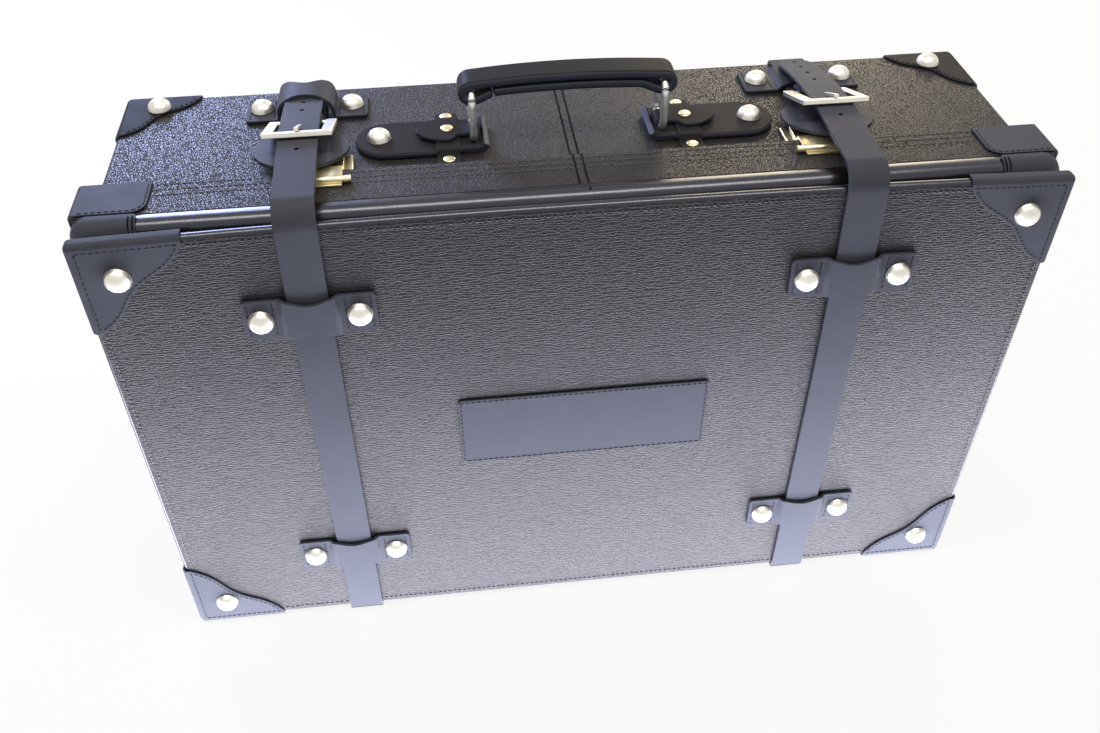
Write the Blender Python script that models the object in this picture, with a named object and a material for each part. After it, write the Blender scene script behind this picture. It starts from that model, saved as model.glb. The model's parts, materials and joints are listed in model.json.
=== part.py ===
"""Leather suitcase with a telescoping lid, two buckled straps, two locks and a carrying handle.

It stands on its hinge side. Metres, +Z up, +Y towards the back. The origin is on the surface that
it stands on, under the middle of the case.
"""

import math

import bmesh
import bpy
from mathutils import Matrix, Vector

# Clearances
FIT = 0.0003
RUNNING = 0.0007
STRAP_SIDE_PLAY = 0.001
WELD = 1e-6

# Case
PANEL_WIDTH = 0.620
PANEL_HEIGHT = 0.373
PANEL_THICKNESS = 0.0072
PANEL_EDGE_RADIUS = 0.002
CASE_DEPTH = 0.190
LID_DEPTH = 0.067
LID_BAND_WIDTH = 0.036
LID_OVERHANG = 0.003
BASE_STEP = 0.0075
WALL = 0.004
BASE_LIP = 0.018
BASE_EDGE_RADIUS = 0.003
ROLL_RADIUS = 0.009
ROLL_FLAT = 0.004
GUSSET_RECESS = 0.014
GUSSET_WALL = 0.006
LINING = 0.0012

# Leather trim and rivets
LEATHER = 0.0024
PATCH_LEATHER = 0.0014
PANEL_PATCH_LEG = 0.066
BASE_PATCH_LEG = 0.052
PATCH_END = 0.006
PATCH_WAVE = 0.0022
LID_CAP_LEG = 0.045
LID_CAP_CORNER = 0.010
PATCH_RIVET_INSET = 0.0245
TOP_RIVET_INSET = 0.018
RIVET_RADIUS = 0.0074
RIVET_HEIGHT = 0.006
RIVET_ROOT = 0.0007
PLAQUE_WIDTH = 0.178
PLAQUE_HEIGHT = 0.062
PLAQUE_MIDDLE = 0.1925

# Straps and loops
STRAP_INSET = 0.133
STRAP_WIDTH = 0.026
STRAP_THICKNESS = 0.0026
STRAP_HINGE_GAP = 0.004
STRAP_BEND_RADIUS = 0.008
STRAP_BEND_RISE = 0.002
TAIL_END_INSET = 0.0115
LOOP_LENGTH = 0.084
LOOP_WIDTH = 0.030
LOOP_RIVET_SPREAD = 0.062
LOOP_RAMP = 0.002
UPPER_LOOP_HEIGHT = 0.308
LOWER_LOOP_HEIGHT = 0.073
TOP_LOOP_INSET = 0.031

# Buckles
BUCKLE_WIDTH = 0.045
BUCKLE_SIDE_BAR = 0.007
BUCKLE_END_BAR = 0.005
BUCKLE_THICKNESS = 0.0034
HEEL_RADIUS = 0.0016
HEEL_SET = 0.053
END_BAR_SET = 0.015
PRONG_WIDTH = 0.0028
PRONG_SLOT = 0.005
PRONG_EYE_WALL = 0.0014
CHAPE_FOLD_BACK = 0.012
GUARD_WIDTH = 0.063
GUARD_THICKNESS = 0.003
GUARD_OVERLAP = 0.004
GUARD_TUCK = 0.001

# Locks
LOCK_OFFSET = 0.009
LOCK_WIDTH = 0.048
LOCK_LENGTH = 0.020
LOCK_HEIGHT = 0.0038
LOCK_BACK_OF_LID = 0.003
KNOB_WIDTH = 0.006
KNOB_LENGTH = 0.007
KNOB_TRAVEL = 0.005
KNOB_STEM = 0.002
HASP_PLATE = 0.0012
HASP_KNUCKLE_RADIUS = 0.0024
HASP_KNUCKLE_SET = 0.016
HASP_FLAP_WIDTH = 0.036
HASP_FLAP_REACH = 0.017

# Handle
HANDLE_SET = 0.040
HANDLE_PIVOT_X = 0.064
RING_WIRE = 0.0045
RING_LEG_SPREAD = 0.020
RING_HEIGHT = 0.033
RING_CORNER = 0.004
GRIP_LENGTH = 0.146
GRIP_WIDTH = 0.026
GRIP_HEIGHT = 0.016
GRIP_ROUNDING = 0.0068
GRIP_LIP_HEIGHT = 0.0042
GRIP_LIP_THICKNESS = 0.004
GRIP_LIP_LENGTH = 0.100
GRIP_TONGUE_WIDTH = 0.013
TAB_FOLD_WIDTH = 0.014
TONGUE_START = 0.012
TONGUE_LENGTH = 0.038
TONGUE_WIDTH = 0.028
ANCHOR_LENGTH = 0.084
ANCHOR_WIDTH = 0.042
ANCHOR_THICKNESS = 0.004
ANCHOR_RIVET_INSET = 0.016
CROSS_STRAP_WIDTH = 0.016
CROSS_STRAP_SET = 0.0095
CROSS_STRAP_FOOT = 0.010
CROSS_STRAP_THICKNESS = 0.0016
SMALL_RIVET_RADIUS = 0.0042
SMALL_RIVET_HEIGHT = 0.0012

# Hinges
HINGE_X = 0.095
HINGE_LENGTH = 0.060
HINGE_LEAF = 0.020
HINGE_LEAF_THICKNESS = 0.0012
KNUCKLE_RADIUS = 0.0022
HINGE_PIN_RADIUS = 0.0010
HINGE_PIN_PLAY = 0.0001

# Roundness
ROUND_SIDES = 14
ARC_STEPS = 5
TAIL_STEPS = 10
SMOOTH_ANGLE = math.radians(35)

# Places that follow from the sizes
CASE_BOTTOM = STRAP_THICKNESS + FIT
PANEL_TOP = CASE_BOTTOM + PANEL_HEIGHT
LID_TOP = PANEL_TOP
LID_HALF = PANEL_WIDTH / 2 + LID_OVERHANG
BASE_HALF = LID_HALF - BASE_STEP
BASE_TOP = LID_TOP - BASE_STEP
FRONT = -CASE_DEPTH / 2
BACK = CASE_DEPTH / 2
PANEL_BACK = FRONT + PANEL_THICKNESS
SPLIT = FRONT + LID_DEPTH
BAND_FRONT = SPLIT - LID_BAND_WIDTH
HINGE = Vector((0, SPLIT, CASE_BOTTOM))
STRAP_X = PANEL_WIDTH / 2 - STRAP_INSET
LOCK_X = STRAP_X - LOCK_OFFSET
TOP_LOOP_Y = BACK - TOP_LOOP_INSET
HANDLE_Y = SPLIT + HANDLE_SET
LOW_ARCH = STRAP_THICKNESS + FIT

# The strap's tail bends on a circle round the hinge, so it draws straight out of its buckle
TAIL_RISE = FIT + LOW_ARCH + LEATHER + FIT + STRAP_THICKNESS / 2
TAIL_RADIUS = math.hypot(TOP_LOOP_Y + LOOP_WIDTH / 2 - SPLIT, BASE_TOP + TAIL_RISE - CASE_BOTTOM)


def on_tail(y, offset=0.0):
    """Point (y, z) on the tail's circle at depth y, moved outwards by offset."""
    angle = math.asin((y - SPLIT) / TAIL_RADIUS)
    radius = TAIL_RADIUS + offset
    return SPLIT + radius * math.sin(angle), CASE_BOTTOM + radius * math.cos(angle)


HEEL_OFFSET = -(STRAP_THICKNESS * 1.5 + 2 * FIT + HEEL_RADIUS)
END_BAR_OFFSET = STRAP_THICKNESS / 2 + FIT + BUCKLE_THICKNESS / 2 + BUCKLE_END_BAR / 6
HEEL = on_tail(SPLIT + HEEL_SET, HEEL_OFFSET)
END_BAR = on_tail(SPLIT + END_BAR_SET, END_BAR_OFFSET)
BUCKLE_LENGTH = math.hypot(HEEL[0] - END_BAR[0], END_BAR[1] - HEEL[1])
BUCKLE_TILT = math.atan2(END_BAR[1] - HEEL[1], HEEL[0] - END_BAR[0])
HIGH_ARCH = on_tail(TOP_LOOP_Y - LOOP_WIDTH / 2, STRAP_THICKNESS / 2)[1] - BASE_TOP
PIVOT_LOW = BASE_TOP + FIT + LEATHER + FIT + RING_WIRE / 2
PIVOT_HIGH = PIVOT_LOW + RING_HEIGHT

# Profiles are drawn in two axes and extruded along the third
ALONG_X = Matrix(((0, 0, 1, 0), (1, 0, 0, 0), (0, 1, 0, 0), (0, 0, 0, 1)))
ALONG_Y = Matrix.Rotation(math.pi / 2, 4, "X")
FACE_FRONT = (math.pi / 2, 0, 0)
FACE_BACK = (-math.pi / 2, 0, 0)
SIDES = {"left": -1, "right": 1}


def finish(name, colour, roughness, metallic=0.0):
    made = bpy.data.materials.new(name)
    made.use_nodes = True
    shader = made.node_tree.nodes["Principled BSDF"]
    shader.inputs["Base Color"].default_value = (*colour, 1.0)
    shader.inputs["Roughness"].default_value = roughness
    shader.inputs["Metallic"].default_value = metallic
    return made


def carrier(name, place):
    """Empty on a joint's axis, which carries what turns with it."""
    made = bpy.data.objects.new(name, None)
    made.location = place
    bpy.context.scene.collection.objects.link(made)
    return made


def part(name, shape, surface, place=(0, 0, 0), turn=(0, 0, 0), on=None, outward=True):
    """Named object from a mesh in its own axes; `on` is the carrier it moves with."""
    bmesh.ops.remove_doubles(shape, verts=shape.verts, dist=WELD)
    if outward:
        bmesh.ops.recalc_face_normals(shape, faces=shape.faces)
    mesh = bpy.data.meshes.new(name)
    shape.to_mesh(mesh)
    shape.free()
    mesh.shade_smooth()
    mesh.set_sharp_from_angle(angle=SMOOTH_ANGLE)
    mesh.materials.append(surface)
    made = bpy.data.objects.new(name, mesh)
    made.location = place
    made.rotation_euler = turn
    bpy.context.scene.collection.objects.link(made)
    if on:
        made.parent = on
        made.matrix_parent_inverse = Matrix.Translation(on.location).inverted()
    return made


def combine(target, shape, operation, place=(0, 0, 0), turn=(0, 0, 0), on=None):
    """Joins a helper mesh to the target, or cuts it away, with a Boolean."""
    helper = part(f"{target.name}_{operation.lower()}", shape, target.data.materials[0], place, turn, on)
    helper.hide_render = True
    helper.display_type = "WIRE"
    step = target.modifiers.new(operation.lower(), "BOOLEAN")
    step.operation = operation
    step.object = helper
    step.solver = "EXACT"


def box(low, high):
    shape = bmesh.new()
    low, high = Vector(low), Vector(high)
    size = high - low
    place = Matrix.Translation((low + high) / 2) @ Matrix.Diagonal((*size, 1))
    bmesh.ops.create_cube(shape, size=1, matrix=place)
    return shape


def rounded(shape, radius, segments=2, chosen=None):
    edges = [e for e in shape.edges if chosen is None or chosen(e)]
    bmesh.ops.bevel(shape, geom=edges, offset=radius, segments=segments, profile=0.5, affect="EDGES")
    return shape


def prism(outline, low, high, turn=None):
    """Closed outline (a, b) extruded from low to high along the third axis, then turned."""
    shape = bmesh.new()
    face = shape.faces.new([shape.verts.new((a, b, low)) for a, b in outline])
    grown = bmesh.ops.extrude_face_region(shape, geom=[face])["geom"]
    tops = [v for v in grown if isinstance(v, bmesh.types.BMVert)]
    bmesh.ops.translate(shape, verts=tops, vec=(0, 0, high - low))
    if turn:
        bmesh.ops.transform(shape, matrix=turn, verts=shape.verts)
    return shape


def arc(centre, radius, start, end, steps=ARC_STEPS):
    """Points on a circle from one angle to another, in degrees."""
    angles = [math.radians(start + (end - start) * i / steps) for i in range(steps + 1)]
    return [(centre[0] + radius * math.cos(a), centre[1] + radius * math.sin(a)) for a in angles]


def ribbon(path, thickness):
    """Outline of a strip of even thickness whose middle follows the path."""
    left, right = [], []
    for i, point in enumerate(path):
        here = Vector(point)
        before = (here - Vector(path[i - 1])).normalized() if i else None
        after = (Vector(path[i + 1]) - here).normalized() if i + 1 < len(path) else None
        before, after = before or after, after or before
        along = (before + after).normalized()
        across = Vector((-along.y, along.x)) * (thickness / 2 / along.dot(after))
        left.append(tuple(here + across))
        right.append(tuple(here - across))
    return left + right[::-1]


def rounded_rectangle(half_a, half_b, radius):
    outline = []
    for turn, (sign_a, sign_b) in enumerate(((1, 1), (-1, 1), (-1, -1), (1, -1))):
        centre = (sign_a * (half_a - radius), sign_b * (half_b - radius))
        outline += arc(centre, radius, 90 * turn, 90 * (turn + 1))
    return outline


def cylinder(radius, low, high, turn=None, sides=ROUND_SIDES):
    outline = arc((0, 0), radius, 0, 360, sides)[:-1]
    return prism(outline, low, high, turn)


def moved(shape, place):
    bmesh.ops.translate(shape, verts=shape.verts, vec=place)
    return shape


def merged(*shapes):
    """Several closed shapes in one helper mesh; they don't overlap each other."""
    mesh = bpy.data.meshes.new("merged")
    whole = bmesh.new()
    for shape in shapes:
        shape.to_mesh(mesh)
        shape.free()
        whole.from_mesh(mesh)
    bpy.data.meshes.remove(mesh)
    return whole


def rivet(radius=RIVET_RADIUS, height=RIVET_HEIGHT, place=(0, 0, 0)):
    """Slightly pointed dome on +Z, with a root that sinks into the leather."""
    profile = [(0, -RIVET_ROOT), (radius, -RIVET_ROOT), (radius, height * 0.12)]
    profile += [(radius * 0.82, height * 0.55), (radius * 0.42, height * 0.9), (0, height)]
    shape = bmesh.new()
    verts = [shape.verts.new((a, 0, b)) for a, b in profile]
    edges = [shape.edges.new(pair) for pair in zip(verts, verts[1:])]
    bmesh.ops.spin(shape, geom=verts + edges, axis=(0, 0, 1), cent=(0, 0, 0), angle=math.tau, steps=ROUND_SIDES)
    bmesh.ops.remove_doubles(shape, verts=shape.verts, dist=WELD)
    return moved(shape, place)


def waisted_edge(leg):
    """Slanting inner edge of a corner patch: a round lobe at both ends and a hollow between."""
    points = []
    steps = 9
    for i in range(steps + 1):
        share = i / steps
        wave = PATCH_WAVE * math.sin(3 * math.pi * share) / math.sqrt(2)
        points.append((leg + (PATCH_END - leg) * share + wave, PATCH_END + (leg - PATCH_END) * share + wave))
    return points


def leather_shell(name, faces, surface, thickness, **where):
    """Leather of even thickness laid over flat faces that share their folded edges."""
    shape = bmesh.new()
    for face in faces:
        shape.faces.new([shape.verts.new(point) for point in face])
    made = part(name, shape, surface, outward=False, **where)
    grow = made.modifiers.new("thickness", "SOLIDIFY")
    grow.thickness = thickness
    grow.offset = 1
    grow.use_even_offset = True
    return made


def make_base(leather, lining):
    lip_front = SPLIT - BASE_LIP
    shell = rounded(box((-BASE_HALF, lip_front, CASE_BOTTOM), (BASE_HALF, BACK, BASE_TOP)), BASE_EDGE_RADIUS)
    base = part("base_case", shell, leather)
    inside = box(
        (-BASE_HALF + WALL, lip_front - WALL, CASE_BOTTOM + WALL),
        (BASE_HALF - WALL, BACK - WALL, BASE_TOP - WALL),
    )
    combine(base, inside, "DIFFERENCE")
    under_lip = box(
        (-LID_HALF, lip_front - WALL, CASE_BOTTOM - WALL),
        (LID_HALF, SPLIT + FIT, CASE_BOTTOM + WALL + FIT),
    )
    combine(base, under_lip, "DIFFERENCE")
    combine(base, hinge_notches(), "DIFFERENCE")

    room = WALL + FIT
    tray = box(
        (-BASE_HALF + room, lip_front, CASE_BOTTOM + room),
        (BASE_HALF - room, BACK - room, BASE_TOP - room),
    )
    tray_part = part("base_lining", tray, lining)
    wall = room + LINING
    hollow = box(
        (-BASE_HALF + wall, lip_front - WALL, CASE_BOTTOM + wall),
        (BASE_HALF - wall, BACK - wall, BASE_TOP - wall),
    )
    combine(tray_part, hollow, "DIFFERENCE")


def hinge_notches():
    """Room for both hinge barrels in the bottom edges of base and lid."""
    reach = KNUCKLE_RADIUS + RUNNING
    half = HINGE_LENGTH / 2 + RUNNING
    notches = []
    for side in SIDES.values():
        low = (side * HINGE_X - half, SPLIT - reach, CASE_BOTTOM - WALL)
        high = (side * HINGE_X + half, SPLIT + reach, CASE_BOTTOM + reach)
        notches.append(box(low, high))
    return merged(*notches)


def make_lid(leather, smooth, lining, lid):
    panel = box((-PANEL_WIDTH / 2, FRONT, CASE_BOTTOM), (PANEL_WIDTH / 2, PANEL_BACK, PANEL_TOP))
    part("front_panel", rounded(panel, PANEL_EDGE_RADIUS, 3), leather, on=lid)

    band = box((-LID_HALF, BAND_FRONT, CASE_BOTTOM), (LID_HALF, SPLIT - FIT, LID_TOP))
    wall = part("lid_wall", band, leather, on=lid)
    through = box(
        (-BASE_HALF - RUNNING, BAND_FRONT - WALL, CASE_BOTTOM + WALL),
        (BASE_HALF + RUNNING, SPLIT + WALL, BASE_TOP + RUNNING),
    )
    combine(wall, through, "DIFFERENCE", on=lid)
    combine(wall, hinge_notches(), "DIFFERENCE", on=lid)

    part("lid_gusset", gusset_ring(), leather, on=lid)
    inner = GUSSET_RECESS + GUSSET_WALL + FIT
    tray_back = PANEL_BACK + FIT
    tray = box(
        (-LID_HALF + inner, tray_back, CASE_BOTTOM + inner),
        (LID_HALF - inner, BAND_FRONT - FIT, LID_TOP - inner),
    )
    tray_part = part("lid_lining", tray, lining, on=lid)
    thick = inner + LINING
    hollow = box(
        (-LID_HALF + thick, tray_back + LINING, CASE_BOTTOM + thick),
        (LID_HALF - thick, BAND_FRONT + WALL, LID_TOP - thick),
    )
    combine(tray_part, hollow, "DIFFERENCE", on=lid)

    plaque = rounded_rectangle(PLAQUE_WIDTH / 2, PLAQUE_HEIGHT / 2, FIT + LEATHER)
    place = (0, FRONT - FIT, CASE_BOTTOM + PLAQUE_MIDDLE)
    part("plaque", prism(plaque, 0, LEATHER), smooth, place, FACE_FRONT, lid)


def gusset_ring():
    """Rolled rim in front of the wall band and the recessed web that carries the panel."""
    back = BAND_FRONT - FIT
    front = PANEL_BACK + FIT
    inner = GUSSET_RECESS + GUSSET_WALL
    roll = arc((ROLL_RADIUS, back - ROLL_FLAT), ROLL_RADIUS, 180, 270)
    profile = [(inner, back), (0, back)] + roll
    profile += [(GUSSET_RECESS, roll[-1][1]), (GUSSET_RECESS, front), (inner, front)]
    shape = bmesh.new()
    rings = []
    for sign_x, at_top in ((-1, False), (1, False), (1, True), (-1, True)):
        ring = []
        for inset, y in profile:
            z = LID_TOP - inset if at_top else CASE_BOTTOM + inset
            ring.append(shape.verts.new((sign_x * (LID_HALF - inset), y, z)))
        rings.append(ring)
    for here, after in zip(rings, rings[1:] + rings[:1]):
        for i in range(len(profile)):
            shape.faces.new((here[i - 1], here[i], after[i], after[i - 1]))
    return shape


def make_panel_patches(smooth, lid):
    """Patch on each corner of the front panel, folded over its two edges."""
    leg = PANEL_PATCH_LEG
    depth = PANEL_THICKNESS
    front = [(0, 0, 0), (leg, 0, 0)] + [(a, b, 0) for a, b in waisted_edge(leg)] + [(0, leg, 0)]
    lower = [(0, 0, 0), (0, 0, -depth), (leg, 0, -depth), (leg, 0, 0)]
    side = [(0, 0, 0), (0, leg, 0), (0, leg, -depth), (0, 0, -depth)]
    corners = {"bottom_left": (-1, -1, 0), "bottom_right": (1, -1, 1), "top_right": (1, 1, 2), "top_left": (-1, 1, 3)}
    for name, (sign_x, sign_z, quarter) in corners.items():
        x = sign_x * (PANEL_WIDTH / 2 + FIT)
        middle = CASE_BOTTOM + PANEL_HEIGHT / 2
        place = Vector((x, FRONT - FIT, middle + sign_z * (PANEL_HEIGHT / 2 + FIT)))
        turn = (math.pi / 2, -quarter * math.pi / 2, 0)
        patch = leather_shell(
            f"panel_patch_{name}", [front, lower, side], smooth, PATCH_LEATHER, place=place, turn=turn, on=lid
        )
        stud = rivet(place=(PATCH_RIVET_INSET, PATCH_RIVET_INSET, PATCH_LEATHER))
        combine(patch, stud, "UNION", place, turn, lid)


def make_base_patches(smooth):
    """Patch on each back corner of the base, folded over three faces."""
    leg = BASE_PATCH_LEG
    edge = waisted_edge(leg)
    back = [(0, 0, 0), (leg, 0, 0)] + [(a, b, 0) for a, b in edge] + [(0, leg, 0)]
    level = [(0, 0, 0)] + [(0, 0, -leg)] + [(a, 0, -b) for a, b in edge[::-1]] + [(leg, 0, 0)]
    side = [(0, 0, 0), (0, leg, 0)] + [(0, a, -b) for a, b in edge] + [(0, 0, -leg)]
    corners = {"bottom_right": (1, -1, 0), "bottom_left": (-1, -1, 1), "top_left": (-1, 1, 2), "top_right": (1, 1, 3)}
    for name, (sign_x, sign_z, quarter) in corners.items():
        middle = (CASE_BOTTOM + BASE_TOP) / 2
        half = (BASE_TOP - CASE_BOTTOM) / 2
        place = Vector((sign_x * (BASE_HALF + FIT), BACK + FIT, middle + sign_z * (half + FIT)))
        turn = (math.pi / 2, -quarter * math.pi / 2, math.pi)
        patch = leather_shell(
            f"base_patch_{name}", [back, level, side], smooth, PATCH_LEATHER, place=place, turn=turn
        )
        stud = rivet(place=(PATCH_RIVET_INSET, PATCH_RIVET_INSET, PATCH_LEATHER))
        combine(patch, stud, "UNION", place, turn)
        if sign_z > 0:
            inset_x = sign_x * (BASE_HALF - PATCH_RIVET_INSET)
            stud_place = (inset_x, BACK - TOP_RIVET_INSET, BASE_TOP + FIT + PATCH_LEATHER)
            combine(patch, rivet(), "UNION", stud_place)


def make_lid_caps(smooth, lid):
    """Plain cap folded round each corner of the lid's wall band."""
    leg = LID_CAP_LEG
    low = FIT
    high = LID_BAND_WIDTH - KNUCKLE_RADIUS
    turned = arc((leg - LID_CAP_CORNER, low + LID_CAP_CORNER), LID_CAP_CORNER, -90, 0)
    across = [(0, low)] + turned + [(leg, high), (0, high)]
    corners = {"bottom_left": (1, 1), "bottom_right": (-1, 1), "top_right": (-1, -1), "top_left": (1, -1)}
    for name, (into_x, into_z) in corners.items():
        level = [(into_x * a, b, 0) for a, b in across]
        side = [(0, b, into_z * a) for a, b in across]
        if into_x * into_z > 0:
            level = level[:1] + level[:0:-1]
        else:
            side = side[:1] + side[:0:-1]
        if into_z < 0:
            level, side = level[:1] + level[:0:-1], side[:1] + side[:0:-1]
        edge_z = CASE_BOTTOM - FIT if into_z > 0 else LID_TOP + FIT
        place = (-into_x * (LID_HALF + FIT), BAND_FRONT, edge_z)
        faces = [level, side] if into_z > 0 else [level[:1] + level[:0:-1], side[:1] + side[:0:-1]]
        leather_shell(f"lid_cap_{name}", faces, smooth, PATCH_LEATHER, place=place, on=lid)


def make_loop(name, rise, smooth, place, turn=(0, 0, 0), on=None):
    """Leather strip, riveted flat at both ends, that arches over the strap in the middle."""
    half = STRAP_WIDTH / 2 + STRAP_SIDE_PLAY + LEATHER / 2
    flat = LEATHER / 2
    ends = [(-LOOP_LENGTH / 2, flat), (-half - LOOP_RAMP, flat), (-half, flat + rise)]
    path = ends + [(-a, b) for a, b in ends[::-1]]
    strip = prism(ribbon(path, LEATHER), -LOOP_WIDTH / 2, LOOP_WIDTH / 2, ALONG_Y)
    loop = part(name, strip, smooth, place, turn, on)
    studs = [rivet(place=(side * LOOP_RIVET_SPREAD / 2, 0, LEATHER)) for side in (-1, 1)]
    combine(loop, merged(*studs), "UNION", place, turn, on)


def make_loops(smooth, lid):
    for name, side in SIDES.items():
        x = side * STRAP_X
        for level, height in {"upper": UPPER_LOOP_HEIGHT, "lower": LOWER_LOOP_HEIGHT}.items():
            z = CASE_BOTTOM + height
            make_loop(f"front_loop_{level}_{name}", LOW_ARCH, smooth, (x, FRONT - FIT, z), FACE_FRONT, lid)
            make_loop(f"rear_loop_{level}_{name}", LOW_ARCH, smooth, (x, BACK + FIT, z), FACE_BACK)
        rise = HIGH_ARCH if side < 0 else LOW_ARCH
        make_loop(f"top_loop_{name}", rise, smooth, (x, TOP_LOOP_Y, BASE_TOP + FIT))


def front_strap_path():
    """From under the lid, up the panel, over its top edge and back along the tail's circle."""
    face = FRONT - FIT - STRAP_THICKNESS / 2
    reach = PANEL_EDGE_RADIUS + FIT + STRAP_THICKNESS / 2
    tail_start = SPLIT + END_BAR_SET - BUCKLE_END_BAR
    start = on_tail(tail_start)
    bend = (face + STRAP_BEND_RADIUS, PANEL_TOP + STRAP_BEND_RISE)
    slope = math.degrees(math.atan2(start[1] - bend[1] - STRAP_BEND_RADIUS, start[0] - bend[0]))
    path = [(SPLIT - STRAP_HINGE_GAP, STRAP_THICKNESS / 2)]
    path += arc((FRONT + PANEL_EDGE_RADIUS, CASE_BOTTOM + PANEL_EDGE_RADIUS), reach, 270, 180)
    path += arc(bend, STRAP_BEND_RADIUS, 180, 90 + slope)
    tail_end = BACK - TAIL_END_INSET
    step = (tail_end - tail_start) / TAIL_STEPS
    return path + [on_tail(tail_start + step * i) for i in range(TAIL_STEPS + 1)]


def rear_strap_path():
    """From under the base, up its back, along its top and round the buckle's heel bar."""
    reach = BASE_EDGE_RADIUS + FIT + STRAP_THICKNESS / 2
    corner_y = BACK - BASE_EDGE_RADIUS
    path = [(SPLIT + STRAP_HINGE_GAP, STRAP_THICKNESS / 2)]
    path += arc((corner_y, CASE_BOTTOM + BASE_EDGE_RADIUS), reach, 270, 360)
    path += arc((corner_y, BASE_TOP - BASE_EDGE_RADIUS), reach, 0, 90)
    lift = (TOP_LOOP_Y - LOOP_WIDTH / 2, BASE_TOP + FIT + STRAP_THICKNESS / 2)
    wrap = HEEL_RADIUS + FIT + STRAP_THICKNESS / 2
    toward = (lift[0] - HEEL[0], HEEL[1] - lift[1])
    slope = math.atan2(toward[1], toward[0]) - math.asin(wrap / math.hypot(*toward))
    path += [lift]
    path += arc(HEEL, wrap, 270 - math.degrees(slope), 70, 10)
    last = Vector(path[-1])
    away = Vector((math.sin(math.radians(70)), -math.cos(math.radians(70))))
    return path + [tuple(last + away * CHAPE_FOLD_BACK)]


def make_straps(smooth, lid):
    half = STRAP_WIDTH / 2
    for name, side in SIDES.items():
        place = (side * STRAP_X, 0, 0)
        front = prism(ribbon(front_strap_path(), STRAP_THICKNESS), -half, half, ALONG_X)
        strap = part(f"front_strap_{name}", front, smooth, place, on=lid)
        slot_start = SPLIT + END_BAR_SET + BUCKLE_END_BAR
        slot_low = on_tail(BACK - TAIL_END_INSET)[1] - BUCKLE_LENGTH / 2
        slot = box((-PRONG_SLOT / 2, slot_start, slot_low), (PRONG_SLOT / 2, BACK, END_BAR[1] + HEEL_SET))
        combine(strap, slot, "DIFFERENCE", place, on=lid)

        rear = prism(ribbon(rear_strap_path(), STRAP_THICKNESS), -half, half, ALONG_X)
        chape = part(f"rear_strap_{name}", rear, smooth, place)
        eye = prong_eye_radius() + STRAP_THICKNESS + RUNNING
        slit_low = (-PRONG_SLOT / 2, HEEL[0] - eye, HEEL[1] - eye)
        slit_high = (PRONG_SLOT / 2, HEEL[0] + eye, HEEL[1] + eye)
        combine(chape, box(slit_low, slit_high), "DIFFERENCE", place)


def prong_eye_radius():
    return HEEL_RADIUS + HINGE_PIN_PLAY + PRONG_EYE_WALL


def make_buckles(nickel):
    turn = (-BUCKLE_TILT, 0, 0)
    half = BUCKLE_WIDTH / 2
    thick = BUCKLE_THICKNESS / 2
    reach = BUCKLE_LENGTH + BUCKLE_END_BAR / 2
    for name, side in SIDES.items():
        place = (side * STRAP_X, *HEEL)
        frame = rounded(box((-half, -reach, -thick), (half, BUCKLE_THICKNESS, thick)), thick / 4, 1)
        made = part(f"buckle_frame_{name}", frame, nickel, place, turn)
        inside = half - BUCKLE_SIDE_BAR
        opening = box((-inside, BUCKLE_END_BAR - reach, -half), (inside, half, half))
        combine(made, opening, "DIFFERENCE", place, turn)
        bar = cylinder(HEEL_RADIUS, -half + thick, half - thick, ALONG_X)
        combine(made, bar, "UNION", place, turn)

        eye = prong_eye_radius()
        wide = PRONG_WIDTH / 2
        prong = part(f"buckle_prong_{name}", cylinder(eye, -wide, wide, ALONG_X), nickel, place, turn)
        rise = thick + FIT + PRONG_WIDTH / 2
        tip = -reach
        rod = prism(ribbon([(-HEEL_RADIUS, 0), (tip, rise)], PRONG_WIDTH * 0.8), -wide, wide, ALONG_X)
        combine(prong, rod, "UNION", place, turn)
        bore = cylinder(HEEL_RADIUS + HINGE_PIN_PLAY, -BUCKLE_WIDTH, BUCKLE_WIDTH, ALONG_X)
        combine(prong, bore, "DIFFERENCE", place, turn)


def make_guards_and_locks(smooth, brass, lid):
    lock_front = SPLIT + LOCK_BACK_OF_LID
    lock_base = BASE_TOP + FIT
    lock_top = lock_base + LOCK_HEIGHT
    for name, side in SIDES.items():
        make_guard(f"buckle_guard_{name}", smooth, side * STRAP_X)
        x = side * LOCK_X

        body = box((-LOCK_WIDTH / 2, 0, 0), (LOCK_WIDTH / 2, LOCK_LENGTH, LOCK_HEIGHT))
        place = (x, lock_front, lock_base)
        lock = part(f"lock_body_{name}", rounded(body, LOCK_HEIGHT / 6, 1), brass, place)
        stem = KNOB_STEM / 2
        depth = KNOB_TRAVEL + KNOB_STEM
        middle = Vector((side * LOCK_WIDTH / 2, LOCK_LENGTH / 2, LOCK_HEIGHT / 2))
        outline = [(-depth - RUNNING, -stem - FIT), (depth, -stem - FIT), (depth, stem + FIT), (-depth - RUNNING, stem + FIT)]
        socket = prism(outline, -stem - FIT, stem + FIT)
        combine(lock, moved(socket, middle), "DIFFERENCE", place)

        knob_place = Vector(place) + middle
        out = side * (FIT + KNOB_WIDTH)
        near, far = sorted((side * FIT, out))
        head = box((near, -KNOB_LENGTH / 2, -stem * 1.4), (far, KNOB_LENGTH / 2, stem * 1.4))
        knob = part(f"lock_knob_{name}", head, brass, knob_place)
        inner, outer = sorted((-side * depth, side * (FIT + stem)))
        combine(knob, box((inner, -stem, -stem), (outer, stem, stem)), "UNION", knob_place)

        make_hasp(f"lock_hasp_{name}", brass, x, lock_top, lid)


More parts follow.
